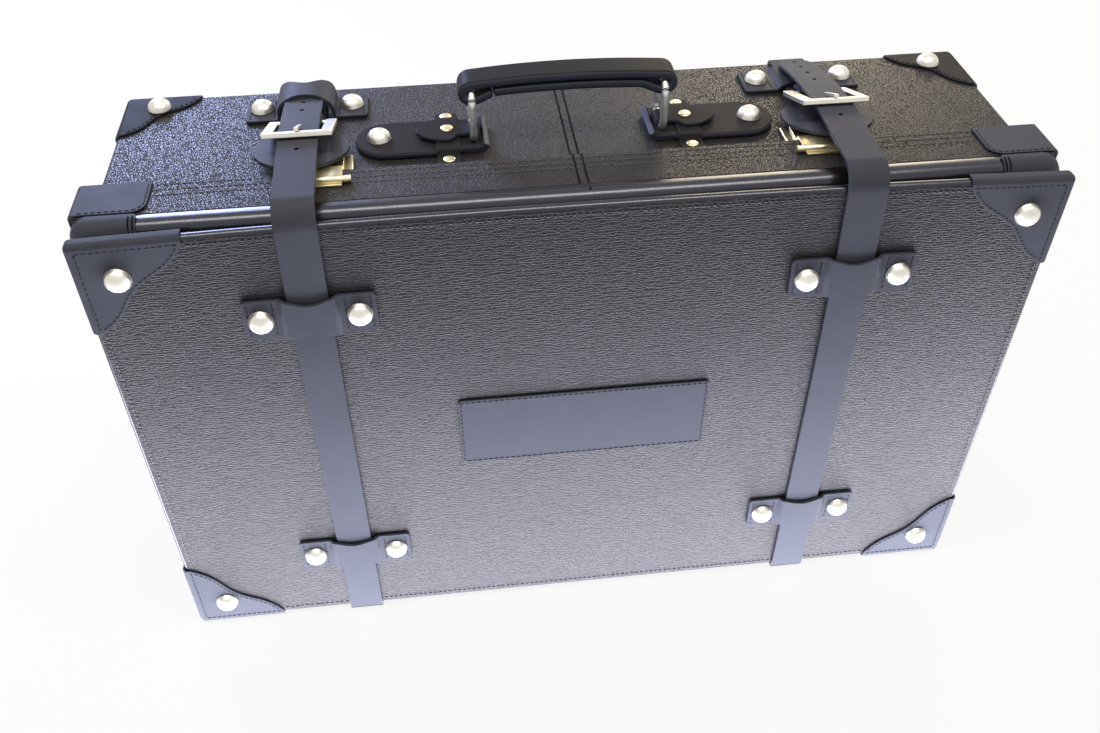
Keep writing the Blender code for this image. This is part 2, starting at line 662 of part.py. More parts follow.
def make_guard(name, smooth, x):
    """Oval leather pad that hangs from the strap's fold and lies over the hasp."""
    back = Vector((HEEL[0] + GUARD_TUCK, HEEL[1] - HEEL_RADIUS - FIT - STRAP_THICKNESS - RUNNING))
    over = Vector((SPLIT + LOCK_BACK_OF_LID, LID_TOP + FIT + HASP_PLATE + RUNNING + GUARD_THICKNESS))
    tilt = math.atan2(over.y - back.y, back.x - over.x)
    half = (back.x - SPLIT + GUARD_OVERLAP) / 2 / math.cos(tilt)
    steps = 20
    angles = [math.tau * i / steps for i in range(steps)]
    outline = [(GUARD_WIDTH / 2 * math.cos(a), half * math.sin(a) - half) for a in angles]
    part(name, prism(outline, -GUARD_THICKNESS, 0), smooth, (x, *back), (-tilt, 0, 0))


def make_hasp(name, brass, x, lock_top, lid):
    """Plate on the lid with its knuckle, and the flap that lies over the lock."""
    seat = LID_TOP + FIT
    knuckle_y = SPLIT - HASP_KNUCKLE_SET
    half_plate = HASP_PLATE / 2
    flap_level = lock_top + FIT + half_plate
    step_y = SPLIT + LOCK_BACK_OF_LID / 2
    plate_front = knuckle_y - 2 * HASP_KNUCKLE_RADIUS
    flap_end = SPLIT + LOCK_BACK_OF_LID + HASP_FLAP_REACH
    path = [(plate_front, seat + half_plate), (step_y, seat + half_plate)]
    path += [(step_y + HASP_PLATE, flap_level), (flap_end, flap_level)]
    wide = HASP_FLAP_WIDTH / 2
    flap = prism(ribbon(path, HASP_PLATE), -wide, wide, ALONG_X)
    made = part(name, flap, brass, (x, 0, 0), on=lid)
    barrel = cylinder(HASP_KNUCKLE_RADIUS, -LOCK_WIDTH / 2, LOCK_WIDTH / 2, ALONG_X, 12)
    combine(made, barrel, "UNION", (x, knuckle_y, seat + HASP_KNUCKLE_RADIUS), on=lid)


def make_handle(smooth, chrome):
    for name, side in SIDES.items():
        pivot = (side * HANDLE_PIVOT_X, HANDLE_Y, PIVOT_LOW)
        make_ring(f"handle_ring_{name}", chrome, pivot)
        make_anchor(name, side, smooth)
    make_grip(smooth)


def make_ring(name, chrome, pivot):
    """Closed wire ring, standing across the case, with its origin on its lower bar."""
    half = RING_LEG_SPREAD / 2
    outline = rounded_rectangle(half, RING_HEIGHT / 2, RING_CORNER)
    curve = bpy.data.curves.new(name, "CURVE")
    curve.dimensions = "3D"
    curve.bevel_depth = RING_WIRE / 2
    curve.bevel_resolution = 2
    wire = curve.splines.new("POLY")
    wire.points.add(len(outline) - 1)
    for point, (a, b) in zip(wire.points, outline):
        point.co = (0, a, b + RING_HEIGHT / 2, 1)
    wire.use_cyclic_u = True
    curve.materials.append(chrome)
    made = bpy.data.objects.new(name, curve)
    made.location = pivot
    bpy.context.scene.collection.objects.link(made)


def make_anchor(name, side, smooth):
    """Anchor plate, the tab folded round the ring on top of it, and the strap across both."""
    wrap = RING_WIRE / 2 + FIT + LEATHER / 2
    inner = HANDLE_PIVOT_X - wrap - LEATHER / 2
    outer = inner + ANCHOR_LENGTH
    half = ANCHOR_WIDTH / 2
    cut = RING_LEG_SPREAD / 2 + RING_WIRE / 2 + RUNNING
    cut_end = HANDLE_PIVOT_X + wrap + 2 * RUNNING
    outline = [(inner, -half)] + arc((outer - half, 0), half, -90, 90, 10) + [(inner, half)]
    outline += [(inner, cut), (cut_end, cut), (cut_end, -cut), (inner, -cut)]
    plate = prism([(side * a, b) for a, b in outline], 0, ANCHOR_THICKNESS)
    place = (0, HANDLE_Y, BASE_TOP + FIT)
    anchor = part(f"handle_anchor_{name}", plate, smooth, place)
    stud = rivet(place=(side * (outer - ANCHOR_RIVET_INSET), 0, ANCHOR_THICKNESS))
    combine(anchor, stud, "UNION", place)

    strap_top = ANCHOR_THICKNESS + FIT + CROSS_STRAP_THICKNESS
    strap_x = side * (HANDLE_PIVOT_X + CROSS_STRAP_SET + CROSS_STRAP_WIDTH / 2)
    make_cross_strap(f"handle_cross_strap_{name}", strap_x, strap_top, smooth)
    make_tab(f"handle_tab_{name}", side, wrap, strap_top + FIT, abs(strap_x), smooth)


def make_tab(name, side, wrap, seat, stud_x, smooth):
    """Strip folded round the ring's lower bar; its tongue is riveted down over the cross strap."""
    low = LEATHER / 2
    level = seat + LEATHER / 2
    bar = (HANDLE_PIVOT_X, low + wrap)
    fold = [(HANDLE_PIVOT_X + wrap, low)] + arc(bar, wrap, 270, 75, 9)
    run = (fold[-1][1] - level) / math.tan(math.radians(15))
    tongue_end = HANDLE_PIVOT_X + TONGUE_LENGTH
    half = TONGUE_WIDTH / 2
    path = fold + [(fold[-1][0] + run, level), (tongue_end - half, level)]
    place = (0, HANDLE_Y, BASE_TOP + FIT)
    strip = ribbon([(side * a, b) for a, b in path], LEATHER)
    tab = part(name, prism(strip, -TAB_FOLD_WIDTH / 2, TAB_FOLD_WIDTH / 2, ALONG_Y), smooth, place)
    start = HANDLE_PIVOT_X + TONGUE_START
    tongue = [(start, -half)] + arc((tongue_end - half, 0), half, -90, 90, 8) + [(start, half)]
    combine(tab, prism([(side * a, b) for a, b in tongue], seat, seat + LEATHER), "UNION", place)
    combine(tab, flat_rivet(seat + LEATHER, (side * stud_x, 0, 0)), "UNION", place)


def flat_rivet(level, place):
    root = CROSS_STRAP_THICKNESS / 2
    stud = cylinder(SMALL_RIVET_RADIUS, level - root, level + SMALL_RIVET_HEIGHT)
    return moved(rounded(stud, root / 4, 1), place)


def make_cross_strap(name, x, top, smooth):
    """Thin strap over the anchor plate, with a flat rivet on each foot."""
    thick = CROSS_STRAP_THICKNESS
    half = ANCHOR_WIDTH / 2 + FIT + thick
    ends = [(-half - CROSS_STRAP_FOOT, thick / 2), (-half, thick / 2), (-half + thick / 2, top - thick / 2)]
    path = ends + [(-a, b) for a, b in ends[::-1]]
    strip = prism(ribbon(path, thick), -CROSS_STRAP_WIDTH / 2, CROSS_STRAP_WIDTH / 2, ALONG_X)
    place = (x, HANDLE_Y, BASE_TOP + FIT)
    strap = part(name, strip, smooth, place)
    reach = half + CROSS_STRAP_FOOT / 2
    studs = [flat_rivet(thick, (0, side * reach, 0)) for side in (-1, 1)]
    combine(strap, merged(*studs), "UNION", place)


def make_grip(smooth):
    """Leather folded over a core: rounded top, two lips below, ends notched for the rings."""
    half = GRIP_WIDTH / 2
    length = GRIP_LENGTH / 2
    bore = RING_WIRE / 2 + FIT
    under = -bore - LEATHER
    core = box((-length, -half, under), (length, half, under + GRIP_HEIGHT))
    rounded(core, GRIP_ROUNDING, 4, lambda e: any(v.co.z > 0 for v in e.verts))
    middle = Vector((0, HANDLE_Y, PIVOT_HIGH))
    pivot = Vector((-HANDLE_PIVOT_X, 0, 0))
    grip = part("handle_grip", moved(core, -pivot), smooth, middle + pivot)
    lip_outer = half - LEATHER / 2
    lip_low = under - GRIP_LIP_HEIGHT
    lips = []
    for side in (-1, 1):
        near, far = sorted((side * lip_outer, side * (lip_outer - GRIP_LIP_THICKNESS)))
        low = (-GRIP_LIP_LENGTH / 2, near, lip_low)
        high = (GRIP_LIP_LENGTH / 2, far, under + bore)
        lips.append(rounded(box(low, high), GRIP_LIP_THICKNESS / 4, 1))
    combine(grip, merged(*lips), "UNION", middle)

    wall = GRIP_TONGUE_WIDTH / 2
    reach = HANDLE_PIVOT_X - GRIP_LIP_LENGTH / 2 - FIT
    above = bore + FIT
    notch = [(-reach, under - RING_WIRE), (reach, under - RING_WIRE), (reach, under), (bore, above), (-bore, above), (-reach, under)]
    for side in SIDES.values():
        for front in (-1, 1):
            near, far = sorted((front * wall, front * GRIP_WIDTH))
            cut = prism(notch, -far, -near, ALONG_Y)
            combine(grip, cut, "DIFFERENCE", middle + Vector((side * HANDLE_PIVOT_X, 0, 0)))
        hole = cylinder(bore, -GRIP_WIDTH, GRIP_WIDTH, ALONG_Y)
        combine(grip, hole, "DIFFERENCE", middle + Vector((side * HANDLE_PIVOT_X, 0, 0)))


def make_hinges(brass, lid):
    third = HINGE_LENGTH / 3
    for name, side in SIDES.items():
        place = Vector((side * HINGE_X, HINGE.y, HINGE.z))
        outer = HINGE_LENGTH / 2
        middle = third / 2
        knuckles = [(-outer, -middle - FIT), (middle + FIT, outer)]
        hinge_leaf(f"hinge_leaf_base_{name}", brass, place, 1, knuckles, None)
        hinge_leaf(f"hinge_leaf_lid_{name}", brass, place, -1, [(-middle + FIT, middle - FIT)], lid)
        pin = cylinder(HINGE_PIN_RADIUS, -outer, outer, ALONG_X, 10)
        part(f"hinge_pin_{name}", pin, brass, place)


def hinge_leaf(name, brass, place, toward, knuckles, on):
    """Flat leaf under the case with its share of the barrel; toward is 1 for the base, -1 for the lid."""
    top = -FIT
    low = top - HINGE_LEAF_THICKNESS
    clear = KNUCKLE_RADIUS + RUNNING
    near, far = sorted((toward * clear, toward * (clear + HINGE_LEAF)))
    half = HINGE_LENGTH / 2
    leaf = part(name, box((-half, near, low), (half, far, top)), brass, place, on=on)
    for start, end in knuckles:
        link_near, link_far = sorted((0, toward * (clear + HINGE_LEAF / 4)))
        combine(leaf, box((start, link_near, low), (end, link_far, top)), "UNION", place, on=on)
        combine(leaf, cylinder(KNUCKLE_RADIUS, start, end, ALONG_X, 12), "UNION", place, on=on)
    bore = cylinder(HINGE_PIN_RADIUS + HINGE_PIN_PLAY, -HINGE_LENGTH, HINGE_LENGTH, ALONG_X, 10)
    combine(leaf, bore, "DIFFERENCE", place, on=on)


def main():
    for item in list(bpy.data.objects):
        bpy.data.objects.remove(item, do_unlink=True)

    grained = finish("cross_grained_leather", (0.020, 0.018, 0.018), 0.45)
    smooth = finish("smooth_leather", (0.016, 0.017, 0.022), 0.42)
    nickel = finish("polished_nickel", (0.80, 0.77, 0.70), 0.18, 1.0)
    chrome = finish("chromed_wire", (0.82, 0.82, 0.82), 0.10, 1.0)
    brass = finish("polished_brass", (0.78, 0.62, 0.30), 0.25, 1.0)
    cloth = finish("lining_cloth", (0.10, 0.08, 0.07), 0.90)

    lid = carrier("lid_axis", HINGE)
    make_base(grained, cloth)
    make_lid(grained, smooth, cloth, lid)
    make_panel_patches(smooth, lid)
    make_base_patches(smooth)
    make_lid_caps(smooth, lid)
    make_loops(smooth, lid)
    make_straps(smooth, lid)
    make_buckles(nickel)
    make_guards_and_locks(smooth, brass, lid)
    make_handle(smooth, chrome)
    make_hinges(brass, lid)


main()
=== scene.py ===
"""Looks of the strapped leather suitcase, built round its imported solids."""

import json
import math
from contextlib import contextmanager

import bmesh
import bpy
import numpy as np
from bpy.props import FloatProperty, FloatVectorProperty, IntProperty, PointerProperty
from mathutils import Matrix, Vector


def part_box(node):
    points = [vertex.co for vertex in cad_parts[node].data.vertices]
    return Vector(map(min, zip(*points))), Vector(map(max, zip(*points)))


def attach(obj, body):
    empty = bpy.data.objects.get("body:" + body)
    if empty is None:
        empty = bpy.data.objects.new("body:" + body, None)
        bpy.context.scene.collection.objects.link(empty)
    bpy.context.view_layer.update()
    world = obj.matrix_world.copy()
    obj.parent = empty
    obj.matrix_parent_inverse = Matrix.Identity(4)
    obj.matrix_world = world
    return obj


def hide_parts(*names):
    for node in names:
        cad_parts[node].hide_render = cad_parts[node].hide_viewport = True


bl_info = {
    "name": "Strapped leather suitcase",
    "version": (1, 0, 0),
    "blender": (4, 5, 0),
    "location": "3D View > Sidebar > Suitcase",
    "description": "Leather, stitching and metalwork of a suitcase with a telescoping lid",
    "category": "Object",
}

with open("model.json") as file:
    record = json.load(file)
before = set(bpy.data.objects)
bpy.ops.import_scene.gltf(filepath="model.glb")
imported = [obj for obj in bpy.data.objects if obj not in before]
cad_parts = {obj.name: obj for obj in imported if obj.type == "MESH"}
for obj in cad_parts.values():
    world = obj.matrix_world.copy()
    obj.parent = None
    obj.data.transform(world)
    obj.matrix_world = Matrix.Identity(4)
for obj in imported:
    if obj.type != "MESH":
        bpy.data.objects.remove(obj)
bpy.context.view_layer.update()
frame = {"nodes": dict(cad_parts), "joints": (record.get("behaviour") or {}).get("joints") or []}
JOINTS = {joint["name"]: joint for joint in frame["joints"]}

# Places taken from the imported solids
PANEL_LOW, PANEL_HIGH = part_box("front_panel")
BAND_LOW, BAND_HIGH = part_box("lid_wall")
RIM_LOW, RIM_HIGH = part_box("lid_gusset")
BASE_LOW, BASE_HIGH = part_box("base_case")
STRAP_LOW, STRAP_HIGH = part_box("front_strap_right")
PLAQUE_LOW, PLAQUE_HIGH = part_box("plaque")
TOP_LOOP_LOW, TOP_LOOP_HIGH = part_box("top_loop_left")
UPPER_LOOP_LOW, UPPER_LOOP_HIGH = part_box("front_loop_upper_right")
LOWER_LOOP_LOW, LOWER_LOOP_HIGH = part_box("front_loop_lower_right")
CAP_LOW, CAP_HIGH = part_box("lid_cap_top_left")
ANCHOR_LOW, ANCHOR_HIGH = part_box("handle_anchor_right")
FEET_LOW, FEET_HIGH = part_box("handle_cross_strap_right")
HINGE = Vector(JOINTS["lid_hinge"]["pos_m"])
HEEL = Vector(JOINTS["buckle_lift_right"]["pos_m"])
RING_FOOT = Vector(JOINTS["handle_swing_right"]["pos_m"])
RING_TOP = Vector(JOINTS["grip_pivot"]["pos_m"])
STRAP_X = (STRAP_LOW.x + STRAP_HIGH.x) / 2
STRAP_WIDTH = STRAP_HIGH.x - STRAP_LOW.x
TOP_LOOP_Y = (TOP_LOOP_LOW.y + TOP_LOOP_HIGH.y) / 2
LOOP_REACH = (UPPER_LOOP_HIGH.x - UPPER_LOOP_LOW.x) / 2
LOOP_WIDTH = UPPER_LOOP_HIGH.z - UPPER_LOOP_LOW.z
LOOP_LEVELS = {
    "upper": (UPPER_LOOP_LOW.z + UPPER_LOOP_HIGH.z) / 2,
    "lower": (LOWER_LOOP_LOW.z + LOWER_LOOP_HIGH.z) / 2,
}
SPLIT = HINGE.y
ROLL_RADIUS = 0.009
ROLL_Y = RIM_HIGH.y - 0.004

# Trim lies on the case with this gap: above its top, before its front and behind its back
FIT = 0.0003
SEAT = BASE_HIGH.z + FIT
FRONT_FACE = PANEL_LOW.y - FIT
BACK_FACE = BASE_HIGH.y + FIT

SIDES = {"left": -1, "right": 1}
CORNERS = {"bottom_left": (-1, -1), "bottom_right": (1, -1), "top_right": (1, 1), "top_left": (-1, 1)}
BACK_CORNERS = ("bottom_right", "bottom_left", "top_left", "top_right")


def at(*place):
    return Matrix.Translation(place)


def quarter(turns, axis="Z"):
    return Matrix.Rotation(turns * math.pi / 2, 4, axis)


ALONG_FRONT = quarter(1, "X")
ALONG_BACK = quarter(-1, "X")


def corners(low, high, gap=0.0, names=tuple(CORNERS)):
    """Name, signs and place (x, z) of each corner of a box, moved out by a gap."""
    for name in names:
        sign_x, sign_z = CORNERS[name]
        x = high.x + gap if sign_x > 0 else low.x - gap
        z = high.z + gap if sign_z > 0 else low.z - gap
        yield name, sign_x, sign_z, x, z


def linear(code):
    """Linear colour, with full alpha, from an sRGB hex value."""
    parts = [int(code[i : i + 2], 16) / 255 for i in (1, 3, 5)]
    return (*(p / 12.92 if p <= 0.04045 else ((p + 0.055) / 1.055) ** 2.4 for p in parts), 1.0)


def length_of(label, text, default):
    return FloatProperty(name=label, description=text, default=default, min=0, unit="LENGTH", precision=5)


def colour_of(label, text, code):
    return FloatVectorProperty(
        name=label, description=text, default=linear(code), size=4, min=0, max=1, subtype="COLOR"
    )


class SuitcaseLeatherSizes(bpy.types.PropertyGroup):
    """Sizes of the leather work"""

    strap_thickness: length_of("Strap thickness", "Thickness of both straps", 0.0026)
    trim_thickness: length_of("Trim thickness", "Thickness of the strap loops", 0.0024)
    patch_thickness: length_of("Patch thickness", "Thickness of corner patches, caps and plaque", 0.0014)
    panel_patch_leg: length_of("Panel patch leg", "Reach of a front patch along each edge", 0.066)
    base_patch_leg: length_of("Base patch leg", "Reach of a back patch along each edge", 0.052)
    loop_waist: length_of("Loop waist", "How far each edge of a loop is cut in over its strap", 0.0042)
    panel_edge: length_of("Panel edge", "Radius of the front panel's covered edge", 0.0034)
    rim_corner: length_of("Rim corner", "Corner radius of the rolled rim", 0.011)
    cut_edge: length_of("Cut edge", "Rounding of the leather's cut edges", 0.0005)
    grip_width: length_of("Grip width", "Width of the grip's strap", 0.0208)
    grip_bow: length_of("Grip bow", "How far the grip is bowed up in its middle", 0.0028)
    panel_bow: length_of("Panel bow", "How far the straps draw in the middle of the panel's top edge", 0.0072)


class SuitcaseSewingSizes(bpy.types.PropertyGroup):
    """Sizes of the stitching"""

    pitch: length_of("Stitch pitch", "Distance from one stitch to the next", 0.0040)
    length: length_of("Stitch length", "Length of a stitch that shows", 0.0029)
    thread: length_of("Thread", "Thickness of the sewing thread", 0.0009)
    margin: length_of("Edge margin", "Distance of a seam from the leather's cut edge", 0.0018)
    fold_margin: length_of("Fold margin", "Distance of a patch's seam from its folded edge", 0.0046)
    panel_margin: length_of("Panel margin", "Distance of the panel's seam from its edge", 0.0062)


class SuitcaseMetalSizes(bpy.types.PropertyGroup):
    """Sizes of the metal parts"""

    rivet_radius: length_of("Rivet radius", "Radius of a domed rivet head", 0.0084)
    rivet_height: length_of("Rivet height", "Height of a domed rivet head", 0.0076)
    small_rivet_radius: length_of("Small rivet radius", "Radius of a flat rivet head", 0.0042)
    ring_wire: length_of("Ring wire", "Thickness of the handle ring's wire", 0.0050)
    rivet_sides: IntProperty(name="Rivet sides", description="Roundness of a rivet", default=28, min=12, max=64)


class SuitcaseColours(bpy.types.PropertyGroup):
    """Colours of leather, thread, metal and lining"""

    grained: colour_of("Grained leather", "Leather that covers panel and walls", "#1b1718")
    smooth: colour_of("Smooth leather", "Leather of patches, straps, loops and plaque", "#454750")
    # Painted shade: a darker copy of the smooth leather, for the handle, anchors and back patches
    oiled: colour_of("Oiled leather", "Leather of handle, anchors and back patches, darkened by use", "#2b2a2c")
    edge: colour_of("Cut edge", "Dyed cut edge of the smooth leather", "#3a3d48")
    thread: colour_of("Thread", "Waxed sewing thread", "#1d1d22")
    nickel: colour_of("Nickel", "Plated rivets and buckles", "#f4efe4")
    chrome: colour_of("Chrome", "Plated handle rings", "#eeeef0")
    brass: colour_of("Brass", "Locks, small rivets and hinges", "#efe4c0")
    lining: colour_of("Lining", "Cloth inside", "#4a4038")


def sizes(kind):
    return getattr(bpy.context.scene, f"suitcase_{kind}")


# Modelling


def only(piece):
    """Makes a piece the one that is selected and active."""
    bpy.ops.object.select_all(action="DESELECT")
    piece.select_set(True)
    bpy.context.view_layer.objects.active = piece
    return piece


def primitive(kind, name, **settings):
    """Adds a primitive whose place is in its mesh."""
    bpy.ops.object.select_all(action="DESELECT")
    getattr(bpy.ops.mesh, f"primitive_{kind}_add")(**settings)
    piece = bpy.context.object
    piece.name = name
    piece.data.name = name
    bpy.ops.object.transform_apply(location=True, rotation=True, scale=True)
    return piece


@contextmanager
def editing(piece, kind="VERT"):
    only(piece)
    bpy.ops.object.mode_set(mode="EDIT")
    bpy.ops.mesh.select_mode(type=kind)
    yield
    bpy.ops.object.mode_set(mode="OBJECT")


def pick(piece, kind, test):
    """Selects the verts, edges or faces that pass a test, in edit mode."""
    bpy.ops.mesh.select_all(action="DESELECT")
    shape = bmesh.from_edit_mesh(piece.data)
    for item in getattr(shape, kind):
        if test(item):
            item.select_set(True)
    shape.select_flush_mode()
    bmesh.update_edit_mesh(piece.data)


def modify(piece, kind, **settings):
    """Adds a modifier with its settings and applies it."""
    only(piece)
    step = piece.modifiers.new(kind.lower(), kind)
    for key, value in settings.items():
        setattr(step, key, value)
    bpy.ops.object.modifier_apply(modifier=step.name)
    return piece


def face_outwards(piece):
    with editing(piece):
        bpy.ops.mesh.select_all(action="SELECT")
        bpy.ops.mesh.remove_doubles(threshold=1e-6)
        bpy.ops.mesh.normals_make_consistent(inside=False)
    return piece


def round_edges(piece, radius, segments=2, angle=50):
    limit = math.radians(angle)
    return modify(piece, "BEVEL", width=radius, segments=segments, limit_method="ANGLE", angle_limit=limit)


def loft(name, rings, closed=True):
    """Draws a ring of edges from outline to outline; every outline has the same number of points."""
    first = [Vector(p) for p in rings[0]]
    piece = primitive("circle", name, vertices=len(first) if closed else max(3, len(first)), fill_type="NOTHING")
    for vert, point in zip(piece.data.vertices, first):
        vert.co = point
    with editing(piece):
        if not closed:
            shape = bmesh.from_edit_mesh(piece.data)
            shape.edges.ensure_lookup_table()
            ends = {0, len(first) - 1}
            for edge in list(shape.edges):
                if {v.index for v in edge.verts} == ends:
                    shape.edges.remove(edge)
            bmesh.update_edit_mesh(piece.data)
        bpy.ops.mesh.select_all(action="SELECT")
        before = first
        for ring in rings[1:]:
            after = [Vector(p) for p in ring]
            bpy.ops.mesh.extrude_region_move()
            shape = bmesh.from_edit_mesh(piece.data)
            drawn = [v for v in shape.verts if v.select]
            places = np.array([tuple(v) for v in before])
            taken = set()
            for vert in drawn:
                gaps = ((places - np.array(vert.co)) ** 2).sum(1)
                for index in np.argsort(gaps, kind="stable"):
                    if int(index) not in taken:
                        taken.add(int(index))
                        vert.co = after[int(index)]
                        break
            bmesh.update_edit_mesh(piece.data)
            before = after
    return piece


def cap_ends(piece):
    """Closes the open ends of a drawn piece."""
    with editing(piece, "EDGE"):
        bpy.ops.mesh.select_all(action="DESELECT")
        bpy.ops.mesh.select_non_manifold()
        bpy.ops.mesh.edge_face_add()
    return face_outwards(piece)


def strip(name, path, widths, thickness, corner=0.0, round_off=None):
    """Leather strip across X: an edge is extruded along a path (y, z) to its widths, then thickened."""
    if isinstance(widths, float):
        widths = [widths] * len(path)
    half = widths[0] / 2
    start = path[0]
    piece = primitive("plane", name, size=widths[0], location=(0, start[0] + half, start[1]))
    with editing(piece):
        pick(piece, "verts", lambda v: v.co.y > start[0] + half)
        bpy.ops.mesh.delete(type="VERT")
        bpy.ops.mesh.select_all(action="SELECT")
        for i in range(1, len(path)):
            step = (0, path[i][0] - path[i - 1][0], path[i][1] - path[i - 1][1])
            bpy.ops.mesh.extrude_region_move(TRANSFORM_OT_translate={"value": step})
            if abs(widths[i] - widths[i - 1]) > 1e-7:
                bpy.ops.transform.resize(value=(widths[i] / widths[i - 1], 1, 1))
        if corner:
            pick(piece, "verts", lambda v: len(v.link_edges) == 2)
            bpy.ops.mesh.bevel(offset=corner, segments=3, affect="VERTICES")
    return leather(piece, thickness, 0, round_off)


def plate(name, outline, thickness, offset=1, round_off=None):
    """Leather cut to an outline (x, y): a disc's rim is laid on the outline, then thickened upwards."""
    return leather(cut_out(name, outline), thickness, offset, round_off)


def cut_out(name, outline):
    piece = primitive("circle", name, vertices=len(outline), radius=1, fill_type="NGON")
    for vert, point in zip(piece.data.vertices, outline):
        vert.co = (*point, 0) if len(point) == 2 else point
    with editing(piece, "FACE"):
        bpy.ops.mesh.select_all(action="SELECT")
        up = bmesh.from_edit_mesh(piece.data).faces[:][0].normal.copy()
        if up.z < -0.5:
            bpy.ops.mesh.flip_normals()
    return piece


def leather(piece, thickness, offset, round_off=None):
    """Gives a sheet its thickness, a dyed cut edge and slightly rounded corners."""
    piece.data.materials.clear()
    piece.data.materials.append(surface("bridle_leather"))
    piece.data.materials.append(surface("dyed_cut_edge"))
    modify(piece, "SOLIDIFY", thickness=thickness, offset=offset, use_even_offset=True, material_offset_rim=1)
    face_outwards(piece)
    round_off = round_off or sizes("leather").cut_edge
    return round_edges(piece, round_off, 4 if round_off > 0.001 else 2)


def face_up(piece):
    """Turns a sheet's faces the same way, with the highest one upwards."""
    with editing(piece):
        bpy.ops.mesh.select_all(action="SELECT")
        bpy.ops.mesh.normals_make_consistent(inside=False)
        shape = bmesh.from_edit_mesh(piece.data)
        highest = max(shape.faces, key=lambda f: f.calc_center_median().z)
        if highest.normal.z < 0:
            bpy.ops.mesh.flip_normals()
    return piece


def tube(name, path, radius, sides=8, closed=False):
    """Round wire or welt along a path of points."""
    line = [Vector(p) for p in path]
    rings = []
    for i, here in enumerate(line):
        before = line[i - 1] if i or closed else here
        after = line[(i + 1) % len(line)] if i + 1 < len(line) or closed else here
        along = (after - before).normalized()
        across = along.cross(Vector((0, 0, 1)) if abs(along.z) < 0.9 else Vector((0, 1, 0))).normalized()
        up = across.cross(along)
        turns = [math.tau * k / sides for k in range(sides)]
        rings.append([here + (across * math.cos(t) + up * math.sin(t)) * radius for t in turns])
    if closed:
        return face_outwards(loft(name, rings + rings[:1]))
    return cap_ends(loft(name, rings))


def punched(piece, places, radius):
    """Punches round holes through a piece."""
    punches = []
    for place in places:
        tool = primitive("cylinder", "punch", vertices=14, radius=radius, depth=0.012)
        tool.data.transform(place)
        punches.append(tool)
    tools = joined("punches", punches)
    tools.data.materials.append(surface("dyed_cut_edge"))
    modify(piece, "BOOLEAN", operation="DIFFERENCE", object=tools, solver="EXACT")
    removed(tools)
    return piece


def turned(name, profile, sides):
    """Round piece on Z: a disc is extruded and resized ring by ring along a profile (radius, height)."""
    radius, height = profile[0]
    place = (0, 0, height)
    piece = primitive("circle", name, vertices=sides, radius=radius, location=place, fill_type="NGON")
    with editing(piece, "FACE"):
        bpy.ops.mesh.select_all(action="SELECT")
        for (wide, low), (next_wide, high) in zip(profile, profile[1:]):
            bpy.ops.mesh.extrude_region_move(TRANSFORM_OT_translate={"value": (0, 0, high - low)})
            share = next_wide / wide
            bpy.ops.transform.resize(value=(share, share, 1))
    return face_outwards(piece)


def copied(model, name, place):
    """Copy with its own mesh, which holds its place."""
    only(model)
    bpy.ops.object.duplicate()
    made = bpy.context.object
    made.name = name
    made.data.name = name
    made.data.transform(place)
    if place.determinant() < 0:
        made.data.flip_normals()
    return made


def joined(name, pieces):
    only(pieces[0])
    for piece in pieces:
        piece.select_set(True)
    bpy.ops.object.join()
    pieces[0].name = name
    pieces[0].data.name = name
    return pieces[0]


def removed(*models):
    for model in models:
        bpy.data.objects.remove(model)


def refined(node, name, radius=0.0, segments=2):
    """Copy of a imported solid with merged, cleaned faces and rounded edges."""
    source = frame["nodes"][node]
    piece = bpy.data.objects.new(name, source.data.copy())
    bpy.context.scene.collection.objects.link(piece)
    with editing(piece):
        bpy.ops.mesh.select_all(action="SELECT")
        bpy.ops.mesh.remove_doubles(threshold=1e-5)
        bpy.ops.mesh.dissolve_limited(angle_limit=math.radians(1))
    if radius:
        round_edges(piece, radius, segments, 40)
    return piece


def folded(name, sheets, radius, segments):
    """Joins sheets that meet at right angles, turns them outwards and rounds their folds."""
    piece = joined(name, sheets)
    with editing(piece, "EDGE"):
        bpy.ops.mesh.select_all(action="SELECT")
        bpy.ops.mesh.remove_doubles(threshold=1e-6)
        bpy.ops.mesh.normals_make_consistent(inside=False)
        shape = bmesh.from_edit_mesh(piece.data)
        flat = max(shape.faces, key=lambda f: abs(f.normal.z))
        if flat.normal.z < 0:
            bpy.ops.mesh.flip_normals()
        round_folds(piece, radius, segments)
    return piece


def round_folds(piece, radius, segments):
    """Rounds the edges between two faces of a sheet, in edit mode."""
    pick(piece, "edges", lambda e: len(e.link_faces) == 2)
    bpy.ops.mesh.bevel(offset=radius, segments=segments, affect="EDGES")


def settle(piece, body, finish=None, nodes=(), angle=35):
    """Shades a finished piece, gives it its surface, and lets it ride on its body in place of its solids."""
    only(piece)
    bpy.ops.object.transform_apply(location=True, rotation=True, scale=True)
    if body == "lid":
        draw_in(piece)
    bpy.ops.object.shade_smooth_by_angle(angle=math.radians(angle))
    modify(piece, "WEIGHTED_NORMAL", keep_sharp=True)
    if finish:
        piece.data.materials.clear()
        piece.data.materials.append(surface(finish))
    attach(piece, body)
    if nodes:
        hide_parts(*nodes)
    return piece


def settle_trim(piece, body, nodes=(), angle=35, face=None):
    """Settles a piece of smooth leather, which keeps its dyed cut edge."""
    settle(piece, body, None, nodes, angle)
    if face:
        piece.data.materials[0] = surface(face)


def settle_seam(name, body, welts):
    settle(joined(name, welts), body, "sunk_seam", (), 70)


def repaint(piece, finish, test):
    """Gives the faces that pass a test a second surface."""
    piece.data.materials.append(surface(finish))
    for face in piece.data.polygons:
        if test(face):
            face.material_index = 1


def smooth_step(share):
    share = min(1.0, max(0.0, share))
    return share * share * (3 - 2 * share)


